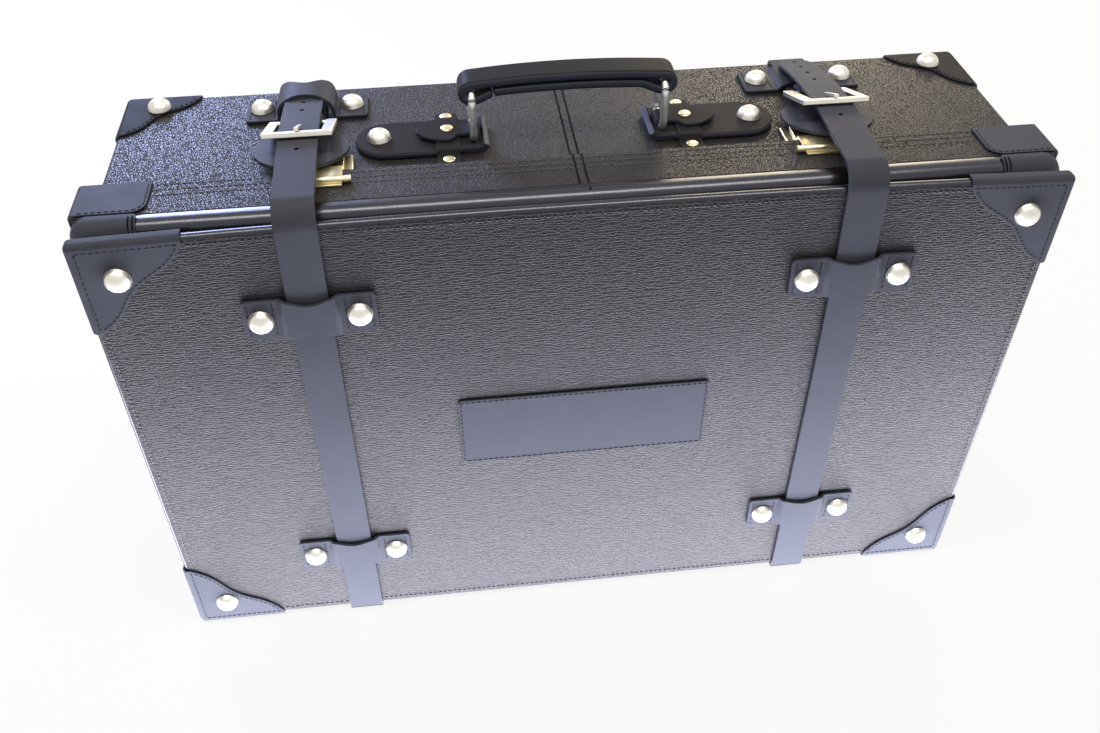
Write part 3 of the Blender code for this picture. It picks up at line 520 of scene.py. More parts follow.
def draw_in(piece):
    """Bows the lid's front as the buckled straps do: the panel's top edge is drawn in between its corners."""
    start_z = 0.2
    start_y = BAND_LOW.y - 0.002
    for vert in piece.data.vertices:
        x, y, z = vert.co
        high = max(0.0, (z - start_z) / (PANEL_HIGH.z - start_z)) ** 2
        deep = smooth_step((start_y - y) / (start_y - PANEL_HIGH.y))
        wide = max(0.0, 1 - abs(x / PANEL_HIGH.x) ** 2.5)
        vert.co.y += sizes("leather").panel_bow * min(high, 1.1) * deep * wide


def arc(centre, radius, start, end, steps=8):
    turns = [math.radians(start + (end - start) * i / steps) for i in range(steps + 1)]
    return [(centre[0] + radius * math.cos(t), centre[1] + radius * math.sin(t)) for t in turns]


def rounded_rectangle(low, high, radius, steps=6):
    """Outline round a box (a, b), counterclockwise from its upper right corner."""
    outline = []
    ways = ((high[0], high[1], -1, -1), (low[0], high[1], 1, -1), (low[0], low[1], 1, 1), (high[0], low[1], -1, 1))
    for turn, (a, b, in_a, in_b) in enumerate(ways):
        outline += arc((a + in_a * radius, b + in_b * radius), radius, 90 * turn, 90 * (turn + 1), steps)
    return outline


def roll(radius, end, steps):
    """Section (step inwards, y) of the rim's roll, as far round as an angle."""
    return [(ROLL_RADIUS - a, y) for a, y in arc((0, ROLL_Y), radius, 0, end, steps)]


# Surfaces


def add_node(tree, kind, settings=None, **inputs):
    """Adds a node with its settings; an input is a value or a socket, named or by its number."""
    made = tree.nodes.new(f"ShaderNode{kind}")
    for key, value in (settings or {}).items():
        setattr(made, key, value)
    for key, value in inputs.items():
        socket = made.inputs[int(key[1:]) if key[0] == "_" else key.replace("_", " ")]
        if isinstance(value, bpy.types.NodeSocket):
            tree.links.new(value, socket)
        else:
            socket.default_value = value
    return made


def new_surface(name):
    """New material: its nodes, its shader, and the part's own coordinates in metres."""
    made = bpy.data.materials.new(name)
    made.use_nodes = True
    tree = made.node_tree
    return tree, tree.nodes["Principled BSDF"], add_node(tree, "TexCoord").outputs["Object"]


def dress(tree, shader, colour, roughness, normal, **fixed):
    """Links what varies to the shader and sets what doesn't on its own sockets."""
    for name, value in (("Base Color", colour), ("Roughness", roughness), ("Normal", normal)):
        if isinstance(value, bpy.types.NodeSocket):
            tree.links.new(value, shader.inputs[name])
        else:
            shader.inputs[name].default_value = value
    for name, value in fixed.items():
        shader.inputs[name.replace("_", " ")].default_value = value


def noise(tree, place, size, detail=1.0, rough=0.5, output="Fac"):
    """Noise with features of about one size, in metres."""
    settings = {"Scale": 1 / size, "Detail": detail, "Roughness": rough}
    return add_node(tree, "TexNoise", Vector=place, **settings).outputs[output]


def calculate(tree, operation, *values, clamp=False):
    inputs = {f"_{i}": value for i, value in enumerate(values)}
    return add_node(tree, "Math", {"operation": operation, "use_clamp": clamp}, **inputs).outputs[0]


def ranged(tree, value, low, high, to_low=0.0, to_high=1.0, kind="LINEAR"):
    """Value brought from one range to another and held inside it."""
    limits = {"From_Min": low, "From_Max": high, "To_Min": to_low, "To_Max": to_high}
    return add_node(tree, "MapRange", {"interpolation_type": kind}, Value=value, **limits).outputs[0]


def shades(tree, factor, colour, low, high):
    """Colour of the settings that varies between two shades of itself."""
    rgb = Vector(getattr(sizes("colours"), colour)[:3])
    ends = {"_6": (*(rgb * low), 1.0), "_7": (*(rgb * high), 1.0)}
    return add_node(tree, "Mix", {"data_type": "RGBA"}, Factor=factor, **ends).outputs[2]


def bumps(tree, height, strength, distance):
    return add_node(tree, "Bump", Height=height, Strength=strength, Distance=distance).outputs[0]


def crossed_grain(tree, place):
    """Sideways wrinkles, about 1.8 mm from one to the next, that waver and run into each other."""
    phase = add_node(tree, "SeparateXYZ", Vector=place).outputs["Z"]
    phase = calculate(tree, "MULTIPLY", phase, math.tau / 0.0018)
    for across, up, swing in ((0.0060, 0.0029, 13.0), (0.0021, 0.0014, 5.0)):
        drawn = add_node(tree, "Mapping", Vector=place, Scale=(1 / across, 1 / up, 1 / up)).outputs[0]
        phase = calculate(tree, "MULTIPLY_ADD", noise(tree, drawn, 1.0), swing, phase)
    return ranged(tree, calculate(tree, "SINE", phase), -0.9, 0.5, kind="SMOOTHSTEP")


def pebbled_grain(tree, place):
    """Rounded pebbles; they are about 1.2 mm across, and drawn at 1.5 mm so that they show."""
    cell = 0.0015
    drawn = add_node(tree, "Mapping", Vector=place, Scale=(0.9, 0.75, 1.0)).outputs[0]
    sway = noise(tree, drawn, 3 * cell, 2.0, output="Color")
    swing = (1.6 * cell, 1.6 * cell, 1.6 * cell)
    settings = {"operation": "MULTIPLY_ADD"}
    bent = add_node(tree, "VectorMath", settings, _0=sway, _1=swing, _2=drawn).outputs[0]
    settings = {"feature": "DISTANCE_TO_EDGE"}
    creases = add_node(tree, "TexVoronoi", settings, Vector=bent, Scale=1 / cell).outputs["Distance"]
    return ranged(tree, creases, 0.0, 0.22, kind="SMOOTHSTEP")


def stretched_grain(tree, place):
    """Grain that is drawn nearly flat over a roll or an edge."""
    return noise(tree, place, 0.006, 2.0)


def grained_leather(name, grain, relief, gloss, shine, tint="#ffffff"):
    """Cowhide with an embossed grain, dyed black and waxed.

    Creases part it into low cushions, whose crowns glint where the light is low; painted shade darkens the
    creases.
    """
    tree, shader, place = new_surface(name)
    grain_and_crease_shade = grain(tree, place)
    height = calculate(tree, "MULTIPLY_ADD", noise(tree, place, 0.0011), 0.25, grain_and_crease_shade)
    # Soft rubbed areas a hand's width across
    worn = shades(tree, noise(tree, place, 0.09, 3.0, 0.55), "grained", 0.75, 1.3)
    # Painted shade: the colour is darkened where the grain is low, to 30 % at the bottom of a crease
    settings = {"data_type": "RGBA", "blend_type": "MULTIPLY"}
    colour = add_node(tree, "Mix", settings, Factor=0.7, _6=worn, _7=grain_and_crease_shade).outputs[2]
    low, high = gloss
    roughness = ranged(tree, height, 0.0, 1.1, high, low)
    fixed = {"IOR": 1.5, "Specular_IOR_Level": shine, "Specular_Tint": linear(tint)}
    dress(tree, shader, colour, roughness, bumps(tree, height, relief, 0.0006), **fixed)


def bridle_leather(name, dye, shine):
    """Bridle leather, dyed blue-black, rolled and waxed.

    It is smooth with faint pores and a satin gloss, and its glaze tints what it reflects.
    """
    tree, shader, place = new_surface(name)
    # Pores are about 0.4 mm; they are drawn at 0.9 mm so that they show
    pores = noise(tree, place, 0.0009, 2.0)
    cloudy = noise(tree, place, 0.03, 4.0, 0.6)
    roughness = ranged(tree, cloudy, 0.3, 0.7, 0.46, 0.58)
    normal = bumps(tree, calculate(tree, "MULTIPLY_ADD", cloudy, 2.0, pores), 0.25, 0.0003)
    fixed = {"IOR": 1.5, "Specular_IOR_Level": shine, "Specular_Tint": linear("#e6ebff")}
    dress(tree, shader, shades(tree, cloudy, dye, 0.82, 1.25), roughness, normal, **fixed)


def dyed_cut_edge(name):
    """Cut edge of bridle leather, dyed and rubbed smooth.

    Its packed fibres are a little paler and bluer than the face.
    """
    tree, shader, place = new_surface(name)
    fibres = noise(tree, place, 0.0006, 2.0)
    fixed = {"IOR": 1.5, "Specular_IOR_Level": 0.25, "Specular_Tint": linear("#d3dcff")}
    dress(tree, shader, shades(tree, fibres, "edge", 0.75, 1.2), 0.48, bumps(tree, fibres, 0.2, 0.0002), **fixed)


def waxed_thread(name, grit, low, high, roughness, shine):
    """Twisted and waxed polyester thread.

    On the grained hide its crowns catch the light. Where the trim holds it down it stays dark, and in
    a closed join of two hides it reads as a thin black line.
    """
    tree, shader, place = new_surface(name)
    twist = noise(tree, place, grit)
    colour = shades(tree, twist, "thread", low, high)
    dress(tree, shader, colour, roughness, bumps(tree, twist, 0.3, 0.0002), Specular_IOR_Level=shine)


def plated_metal(name, colour, low, high, grit):
    """Polished and plated metal: mirror-like, with faint handling marks that vary its gloss."""
    tree, shader, place = new_surface(name)
    marks = noise(tree, place, grit, 4.0, 0.65)
    roughness = ranged(tree, marks, 0.3, 0.7, low, high)
    tone = shades(tree, marks, colour, 0.86, 1.08)
    dress(tree, shader, tone, roughness, bumps(tree, marks, 0.08, 0.0002), Metallic=1.0)


def cotton_lining(name):
    """Plain woven cotton glued over board.

    Its threads show as a fine matt check.
    """
    tree, shader, place = new_surface(name)
    # Threads are 0.6 mm apart; they are drawn 1.6 mm apart so that they show
    inputs = {"Scale": math.tau / 20 / 0.0016, "Distortion": 0.6}
    bands = []
    for direction in "XYZ":
        settings = {"wave_type": "BANDS", "bands_direction": direction}
        bands.append(add_node(tree, "TexWave", settings, Vector=place, **inputs).outputs["Fac"])
    crossed = calculate(tree, "MULTIPLY", bands[0], bands[2])
    weave = calculate(tree, "MULTIPLY_ADD", bands[1], 0.3, crossed)
    dress(tree, shader, shades(tree, weave, "lining", 0.7, 1.2), 0.9, bumps(tree, weave, 0.3, 0.0004))


FINISHES = {
    "nickel_plate": (plated_metal, "nickel", 0.30, 0.42, 0.004),
    "chromed_wire": (plated_metal, "chrome", 0.36, 0.50, 0.006),
    "polished_brass": (plated_metal, "brass", 0.26, 0.40, 0.005),
    "bridle_leather": (bridle_leather, "smooth", 0.09),
    # Painted shade: the smooth leather made darker for the handle, anchors and back patches
    "oiled_bridle_leather": (bridle_leather, "oiled", 0.05),
    "dyed_cut_edge": (dyed_cut_edge,),
    "waxed_thread": (waxed_thread, 0.0007, 0.6, 1.6, 0.40, 0.5),
    "sunk_thread": (waxed_thread, 0.0007, 0.6, 1.6, 0.60, 0.2),
    "sunk_seam": (waxed_thread, 0.001, 0.25, 0.6, 0.9, 0.1),
    "cross_grain_leather": (grained_leather, crossed_grain, 0.32, (0.38, 0.62), 0.34, "#f8f5ff"),
    "pebbled_leather": (grained_leather, pebbled_grain, 0.5, (0.33, 0.80), 0.45),
    "glazed_roll_leather": (grained_leather, stretched_grain, 0.1, (0.22, 0.30), 0.9, "#e4eaff"),
    "cotton_lining": (cotton_lining,),
}


def surface(name):
    """Named surface, made when it is first asked for."""
    if name not in bpy.data.materials:
        maker, *settings = FINISHES[name]
        maker(name, *settings)
    return bpy.data.materials[name]


# Shared models


def stitch_rows(name, body, rows, finish="sunk_thread"):
    """Copies one modelled stitch along each row of (points, outward normal), in one mesh."""
    sewing = sizes("sewing")
    half = sewing.length / 2
    thick = sewing.thread / 2
    profile = [(thick * 0.5, -half), (thick, -half * 0.6), (thick, half * 0.6), (thick * 0.5, half)]
    model = turned("stitch", profile, 6)
    points = np.array([tuple(v.co) for v in model.data.vertices])
    faces = [tuple(p.vertices) for p in model.data.polygons]
    removed(model)
    verts, polygons = [], []
    for row, normal in rows:
        up = Vector(normal).normalized()
        for place, along in along_row(row, sewing.pitch):
            across = up.cross(along).normalized()
            turn = np.array((tuple(across), tuple(along.cross(across)), tuple(along)))
            start = len(verts) * len(points)
            verts.append(points @ turn + np.array(place))
            polygons += [tuple(start + i for i in face) for face in faces]
    mesh = bpy.data.meshes.new(name)
    mesh.from_pydata(np.concatenate(verts), [], polygons)
    piece = bpy.data.objects.new(name, mesh)
    bpy.context.scene.collection.objects.link(piece)
    return settle(piece, body, finish)


def along_row(row, pitch):
    """Evenly spaced places on a line of points, with its direction there."""
    line = [Vector(p) for p in row]
    lengths = [(b - a).length for a, b in zip(line, line[1:])]
    total = sum(lengths)
    count = max(1, round(total / pitch))
    places = []
    for i in range(count):
        left = total * (i + 0.5) / count
        for a, b, length in zip(line, line[1:], lengths):
            if left <= length and length > 1e-9:
                along = (b - a).normalized()
                places.append((a + along * left, along))
                break
            left -= length
    return places


def dome_model():
    """Slightly pointed rivet head with a thin rim."""
    metal = sizes("metal")
    wide = metal.rivet_radius
    high = metal.rivet_height
    profile = [(wide * 0.94, 0), (wide, high * 0.05), (wide, high * 0.12), (wide * 0.96, high * 0.2)]
    for turn in range(12, 90, 11):
        share = math.radians(turn)
        profile.append((wide * 0.95 * math.cos(share) ** 1.12, high * (0.18 + 0.8 * math.sin(share))))
    profile.append((wide * 0.04, high))
    return turned("rivet", profile, metal.rivet_sides)


def flat_rivet_model():
    wide = sizes("metal").small_rivet_radius
    profile = [(wide, 0), (wide, 0.0007), (wide * 0.9, 0.0011), (wide * 0.6, 0.0014), (wide * 0.1, 0.0015)]
    return turned("flat_rivet", profile, 24)


class SUITCASE_OT_stage(bpy.types.Operator):
    """Adds floor, light and camera"""

    bl_idname = "suitcase.stage"
    bl_label = "Stage"

    def execute(self, context):
        scene = context.scene
        scene.view_settings.view_transform = "Standard"
        floor = primitive("plane", "floor", size=12)
        made = bpy.data.materials.new("pale_floor")
        made.use_nodes = True
        tree = made.node_tree
        shader = tree.nodes["Principled BSDF"]
        shader.inputs["Base Color"].default_value = linear("#f4f4f4")
        shader.inputs["Roughness"].default_value = 0.9
        path = add_node(tree, "LightPath")
        seen = calculate(tree, "ADD", path.outputs["Is Camera Ray"], path.outputs["Is Glossy Ray"], clamp=True)
        seen = calculate(tree, "MULTIPLY", seen, 0.88)
        white = add_node(tree, "Emission", Color=(1, 1, 1, 1), Strength=1.0).outputs[0]
        mixed = add_node(tree, "MixShader", _0=seen, _1=shader.outputs[0], _2=white).outputs[0]
        tree.links.new(mixed, tree.nodes["Material Output"].inputs["Surface"])
        floor.data.materials.append(made)

        world = bpy.data.worlds.new("studio")
        scene.world = world
        world.use_nodes = True
        tree = world.node_tree
        path = add_node(tree, "LightPath")
        strength = 0.3
        for ray, share in (("Is Camera Ray", 0.7), ("Is Transmission Ray", 0.7), ("Is Glossy Ray", 0.5)):
            strength = calculate(tree, "MULTIPLY_ADD", path.outputs[ray], share, strength)
        ground = tree.nodes["Background"]
        ground.inputs["Color"].default_value = (1, 1, 1, 1)
        tree.links.new(strength, ground.inputs["Strength"])

        tilt = math.radians(-65)
        aside = math.radians(26)
        # Place, turn, width, depth, power and colour
        lamps = {
            "overhead_softbox": ((0.0, -0.25, 1.75), (0, 0, 0), 1.5, 0.3, 16, "#fff6e6"),
            "front_card": ((0.0, -0.215, 0.004), (math.pi, 0, 0), 1.2, 0.24, 9.2, "#f1f2ff"),
            "left_window": ((-0.75, 1.4, 1.0), (tilt, 0, -aside), 0.8, 0.6, 30, "#bccaff"),
            "right_window": ((0.75, 1.4, 0.95), (tilt, 0, aside), 0.9, 0.4, 10, "#ffebc8"),
        }
        for name, (place, turn, wide, deep, power, code) in lamps.items():
            bpy.ops.object.light_add(type="AREA", location=place, rotation=turn)
            lamp = context.object
            lamp.name = name
            lamp.data.shape = "RECTANGLE"
            lamp.data.size = wide
            lamp.data.size_y = deep
            lamp.data.energy = power
            lamp.data.color = linear(code)[:3]
            lamp.visible_camera = False

        bpy.ops.object.camera_add()
        camera = context.object
        forward = Vector((0.0846, 0.7335, -0.6745)).normalized()
        right = Vector((0.9931, -0.1172, -0.0030))
        right = (right - forward * right.dot(forward)).normalized()
        turn = Matrix((right, right.cross(forward), -forward)).transposed().to_4x4()
        camera.matrix_world = at(-0.0871, -0.6384, 0.7510) @ turn
        camera.data.lens = 35.48
        camera.data.sensor_width = 36
        camera.data.clip_start = 0.01
        scene.camera = camera
        return {"FINISHED"}


class SUITCASE_OT_case(bpy.types.Operator):
    """Adds the covered base, the lid's panel, wall band and rolled rim, and the linings"""

    bl_idname = "suitcase.case"
    bl_label = "Case"

    def execute(self, context):
        size = sizes("leather")
        base = refined("base_case", "base_cover")
        settle(base, "base", "pebbled_leather", ["base_case"], 40)

        spread = PANEL_HIGH - PANEL_LOW
        panel = primitive("cube", "panel_cover", size=1, location=(PANEL_LOW + PANEL_HIGH) / 2, scale=spread)
        round_edges(panel, size.panel_edge, 5)
        with editing(panel, "EDGE"):
            pick(panel, "edges", lambda e: e.calc_length() > 0.1)
            bpy.ops.mesh.subdivide(number_cuts=19)
        settle(panel, "lid", "cross_grain_leather", ["front_panel"])
        # The leather is stretched over the board's edge, so it is smooth and shines there
        repaint(panel, "glazed_roll_leather", lambda face: abs(face.normal.y) < 0.93)

        band = refined("lid_wall", "band_cover", 0.0012, 3)
        settle(band, "lid", "pebbled_leather", ["lid_wall"])
        self.rim(size.rim_corner)
        for node, body in (("base_lining", "base"), ("lid_lining", "lid")):
            tray = refined(node, f"{node}_cloth", 0.0004)
            settle(tray, body, "cotton_lining", [node])
        return {"FINISHED"}

    def rim(self, corner):
        """Rolled rim and the recessed web behind the panel, drawn round the lid."""
        back = RIM_HIGH.y
        front = RIM_LOW.y
        edge, web, inner = 0.0006, 0.0145, 0.020
        profile = [(inner, back), (edge, back), (0, back - edge), (0, ROLL_Y)] + roll(ROLL_RADIUS, -112, 14)[1:]
        profile += [(0.0142, ROLL_Y - ROLL_RADIUS * 0.72), (web, front), (inner, front), (inner, back)]
        rings = []
        for step, y in profile:
            low = (RIM_LOW.x + step, RIM_LOW.z + step)
            high = (RIM_HIGH.x - step, RIM_HIGH.z - step)
            outline = rounded_rectangle(low, high, max(corner - step, 0.002), 7)
            rings.append([(a, y, b) for a, b in outline])
        rim = face_outwards(loft("rolled_rim", rings))
        settle(rim, "lid", "glazed_roll_leather", ["lid_gusset"], 60)

        def depth(face):
            x, _, z = face.center
            return min(x - RIM_LOW.x, RIM_HIGH.x - x, z - RIM_LOW.z, RIM_HIGH.z - z)

        # The web that joins the roll to the panel isn't stretched, so it stays dull
        repaint(rim, "pebbled_leather", lambda face: depth(face) > ROLL_RADIUS * 1.15)


class SUITCASE_OT_rim_sleeves(bpy.types.Operator):
    """Adds the smooth leather sleeves sewn round the corners of the rolled rim"""

    bl_idname = "suitcase.rim_sleeves"
    bl_label = "Rim sleeves"

    def execute(self, context):
        lift = 0.0007
        profile = [(-lift, RIM_HIGH.y - 0.0010), (-lift, ROLL_Y)] + roll(ROLL_RADIUS + lift, -112, 12)[1:]
        reach = 0.040
        model = loft("sleeve", self.rings(profile, reach), False)
        modify(model, "SUBSURF", levels=1, render_levels=1)
        model = leather(face_up(model), 0.0008, 1, 0.0003)
        rows = []
        above = 0.0009
        for name, sign_x, sign_z, x, z in corners(RIM_LOW, RIM_HIGH):
            place = at(x, 0, z) @ Matrix.Diagonal((-sign_x, 1, sign_z, 1))
            settle_trim(copied(model, f"rim_sleeve_{name}", place), "lid", (), 60)
            for back_by in (0.0016, 0.0042):
                end = reach - back_by
                for line in (
                    [(end, y - 0.0004, above - step) for step, y in profile[1:-2]],
                    [(step - above, y - 0.0004, -end) for step, y in profile[1:-2]],
                ):
                    rows.append(tube("sleeve_seam", [place @ Vector(p) for p in line], 0.0005, 6))
        removed(model)
        settle_seam("rim_sleeve_seams", "lid", rows)
        return {"FINISHED"}

    def rings(self, profile, reach):
        """Sections of the upper left sleeve: along the top, round the corner and down the side."""
        corner = sizes("leather").rim_corner
        stations = [("top", reach - (reach - corner) * i / 6) for i in range(6)]
        stations += [("turn", 90 * i / 10) for i in range(11)]
        stations += [("side", corner + (reach - corner) * i / 6) for i in range(1, 7)]
        rings = []
        for index, (kind, value) in enumerate(stations):
            # Folds gather the leather on the inner side of the turn
            near = max(0.0, 1 - abs(index - 11) / 7)
            ring = []
            for depth, (step, y) in enumerate(profile):
                step += 0.0011 * near * math.sin(index * 2.1) * depth / len(profile)
                if kind == "top":
                    ring.append((value, y, -step))
                elif kind == "side":
                    ring.append((step, y, -value))
                else:
                    turn = math.radians(90 + value)
                    length = max(corner - step, 0.0012)
                    ring.append((corner + length * math.cos(turn), y, length * math.sin(turn) - corner))
            rings.append(ring)
        return rings


class SUITCASE_OT_patches(bpy.types.Operator):
    """Adds the corner patches of panel and base and the caps of the lid's wall band"""

    bl_idname = "suitcase.patches"
    bl_label = "Corner patches"

    def execute(self, context):
        size = sizes("leather")
        self.panel_patches(size.panel_patch_leg, size.patch_thickness)
        self.base_patches(size.base_patch_leg, size.patch_thickness)
        self.lid_caps(size.patch_thickness)
        return {"FINISHED"}

    def panel_patches(self, leg, thickness):
        depth = PANEL_HIGH.y - PANEL_LOW.y
        model = cut_out("panel_patch", [(0, 0), (leg, 0)] + lobed_edge(leg) + [(0, leg)])
        with editing(model, "EDGE"):
            # Both straight sides are folded back over the panel's edge
            pick(model, "edges", lambda e: any(max(abs(v.co[i]) for v in e.verts) < 1e-6 for i in (0, 1)))
            bpy.ops.mesh.extrude_region_move(TRANSFORM_OT_translate={"value": (0, 0, -depth)})
            round_folds(model, 0.0026, 4)
        leather(model, thickness, 1)
        rows = []
        for turn, (name, _, _, x, z) in enumerate(corners(PANEL_LOW, PANEL_HIGH, FIT)):
            place = at(x, FRONT_FACE, z) @ ALONG_FRONT @ quarter(turn)
            settle_trim(copied(model, f"panel_patch_{name}_leather", place), "lid", [f"panel_patch_{name}"])
            rows += placed_rows(lobed_seams(leg), thickness, place)
        removed(model)
        stitch_rows("panel_patch_stitches", "lid", rows)

    def base_patches(self, leg, thickness):
        edge = lobed_edge(leg)
        faces = [
            [(0, 0, 0), (leg, 0, 0)] + [(a, b, 0) for a, b in edge] + [(0, leg, 0)],
            [(0, 0, 0), (0, 0, -leg)] + [(a, 0, -b) for a, b in edge[::-1]] + [(leg, 0, 0)],
            [(0, 0, 0), (0, leg, 0)] + [(0, a, -b) for a, b in edge] + [(0, 0, -leg)],
        ]
        sheets = [cut_out(f"base_patch_{i}", face) for i, face in enumerate(faces)]
        model = leather(folded("base_patch", sheets, 0.0034, 4), thickness, 1)
        seam = lobed_seams(leg)[1]
        rows = []
        for turn, (name, _, _, x, z) in enumerate(corners(BASE_LOW, BASE_HIGH, FIT, BACK_CORNERS)):
            place = at(x, BACK_FACE, z) @ quarter(2) @ ALONG_FRONT @ quarter(turn)
            patch = copied(model, f"base_patch_{name}_leather", place)
            # Their darker copy of the smooth leather is painted shade
            settle_trim(patch, "base", [f"base_patch_{name}"], face="oiled_bridle_leather")
            rows += placed_rows([seam], thickness, place)
            lean = place.to_3x3()
            rows.append(([place @ Vector((a, -thickness, -b)) for a, b in seam], lean @ Vector((0, -1, 0))))
            rows.append(([place @ Vector((-thickness, a, -b)) for a, b in seam], lean @ Vector((-1, 0, 0))))
        removed(model)
        stitch_rows("base_patch_stitches", "base", rows)

    def lid_caps(self, thickness):
        leg = CAP_HIGH.x - CAP_LOW.x - thickness
        deep = CAP_HIGH.y - CAP_LOW.y
        corner = 0.010
        middle = (leg - corner, corner)
        across = [(0, 0)] + arc(middle, corner, -90, 0) + [(leg, deep), (0, deep)]
        sheets = [cut_out("cap_level", across), cut_out("cap_side", [(0, b, -a) for a, b in across])]
        model = leather(folded("lid_cap", sheets, 0.002, 3), thickness, 1)
        margin = sizes("sewing").margin
        seam = [(0.004, margin)] + arc(middle, corner - margin, -90, 0, 6) + [(leg - margin, deep - 0.003)]
        rows = []
        for name, sign_x, sign_z, x, z in corners(BAND_LOW, BAND_HIGH, FIT):
            place = at(x, CAP_LOW.y, z) @ Matrix.Diagonal((-sign_x, 1, sign_z, 1))
            settle_trim(copied(model, f"lid_cap_{name}_leather", place), "lid", [f"lid_cap_{name}"])
            rows.append(([place @ Vector((a, b, thickness)) for a, b in seam], (0, 0, sign_z)))
            rows.append(([place @ Vector((-thickness, b, -a)) for a, b in seam], (sign_x, 0, 0)))
        removed(model)
        stitch_rows("lid_cap_stitches", "lid", rows)


def lobed_edge(leg, end=0.0045, wave=0.0022, steps=24):
    """Slanting inner edge of a corner patch: a round lobe at both ends and a hollow between."""
    points = []
    for i in range(steps + 1):
        share = i / steps
        bulge = wave * math.sin(3 * math.pi * share) / math.sqrt(2)
        points.append((leg + (end - leg) * share + bulge, end + (leg - end) * share + bulge))
    return points


def lobed_seams(leg):
    """Seams of a corner patch: one beside the folded edges and one inside the lobed edge."""
    margin = sizes("sewing").margin
    near = sizes("sewing").fold_margin
    inner = []
    edge = [Vector(p) for p in lobed_edge(leg)]
    for before, here, after in zip(edge, edge[1:], edge[2:]):
        along = (after - before).normalized()
        inner.append(tuple(here + Vector((-along.y, along.x)) * margin))
    outer = [(leg - margin, near), (near, near), (near, leg - margin)]
    return [outer, [p for p in inner if min(p) > near * 0.8]]


def placed_rows(seams, level, place):
    """Rows for stitches, from seams (a, b) on a piece's upper face."""
    normal = place.to_3x3() @ Vector((0, 0, 1))
    return [([place @ Vector((a, b, level)) for a, b in seam], normal) for seam in seams]


class SUITCASE_OT_panel_seams(bpy.types.Operator):
    """Adds the plaque and the seams of panel, wall band and base"""

    bl_idname = "suitcase.panel_seams"
    bl_label = "Plaque and seams"

    def execute(self, context):
        self.plaque(sizes("leather").patch_thickness, sizes("sewing").margin)
        # Hides meet in two closed joins near the middle of the top
        joins = (-0.0012, 0.0044)
        thin = 0.0006
        welts = []
        for x in joins:
            line = [(x, BAND_LOW.y + 0.001, BAND_HIGH.z), (x, SPLIT - thin, BAND_HIGH.z)]
            welts.append(tube("welt", line, thin, 6))
        line = [(joins[1], y, RIM_HIGH.z - step) for step, y in roll(ROLL_RADIUS, -100, 12)]
        welts.append(tube("welt", line, 0.0007, 6))
        settle_seam("band_joins", "lid", welts)
        stitch_rows("lid_stitches", "lid", self.lid_rows(), "waxed_thread")
        welts = []
        edge = 0.003
        for x in joins:
            line = [(x, SPLIT, BASE_HIGH.z), (x, BASE_HIGH.y - edge, BASE_HIGH.z)]
            line += [(x, BASE_HIGH.y, BASE_HIGH.z - edge), (x, BASE_HIGH.y, BASE_LOW.z + edge)]
            welts.append(tube("welt", line, thin, 6))
        settle_seam("base_joins", "base", welts)
        return {"FINISHED"}

    def plaque(self, thickness, margin):
        middle = (PLAQUE_LOW + PLAQUE_HIGH) / 2
        place = at(middle.x, FRONT_FACE, middle.z) @ ALONG_FRONT

        def outline(gap, radius, steps=6):
            a = PLAQUE_HIGH.x - middle.x - gap
            b = PLAQUE_HIGH.z - middle.z - gap
            return rounded_rectangle((-a, -b), (a, b), radius, steps)

        model = plate("plaque_leather", outline(0, 0.003), thickness)
        model.data.transform(place)
        settle_trim(model, "lid", ["plaque"])
        seam = outline(margin, 0.002, 2)
        stitch_rows("plaque_stitches", "lid", placed_rows([seam + seam[:1]], thickness, place))

    def lid_rows(self):
        """Seam round the panel, from patch to patch, and three round the wall band, from cap to cap."""
        rows = []
        near = sizes("sewing").panel_margin
        leg = sizes("leather").panel_patch_leg + 0.001
        front = PANEL_LOW.y
        for z in (PANEL_LOW.z + near, PANEL_HIGH.z - near):
            rows.append(([(PANEL_LOW.x + leg, front, z), (PANEL_HIGH.x - leg, front, z)], (0, -1, 0)))
        for x in (PANEL_LOW.x + near, PANEL_HIGH.x - near):
            rows.append(([(x, front, PANEL_LOW.z + leg), (x, front, PANEL_HIGH.z - leg)], (0, -1, 0)))
        cap = CAP_HIGH.x - CAP_LOW.x
        for back in (0.0045, 0.0105, 0.0165):
            y = SPLIT - back
            for z, up in ((BAND_LOW.z, -1), (BAND_HIGH.z, 1)):
                rows.append(([(BAND_LOW.x + cap, y, z), (BAND_HIGH.x - cap, y, z)], (0, 0, up)))
            for x, out in ((BAND_LOW.x, -1), (BAND_HIGH.x, 1)):
                rows.append(([(x, y, BAND_LOW.z + cap), (x, y, BAND_HIGH.z - cap)], (out, 0, 0)))
        return rows


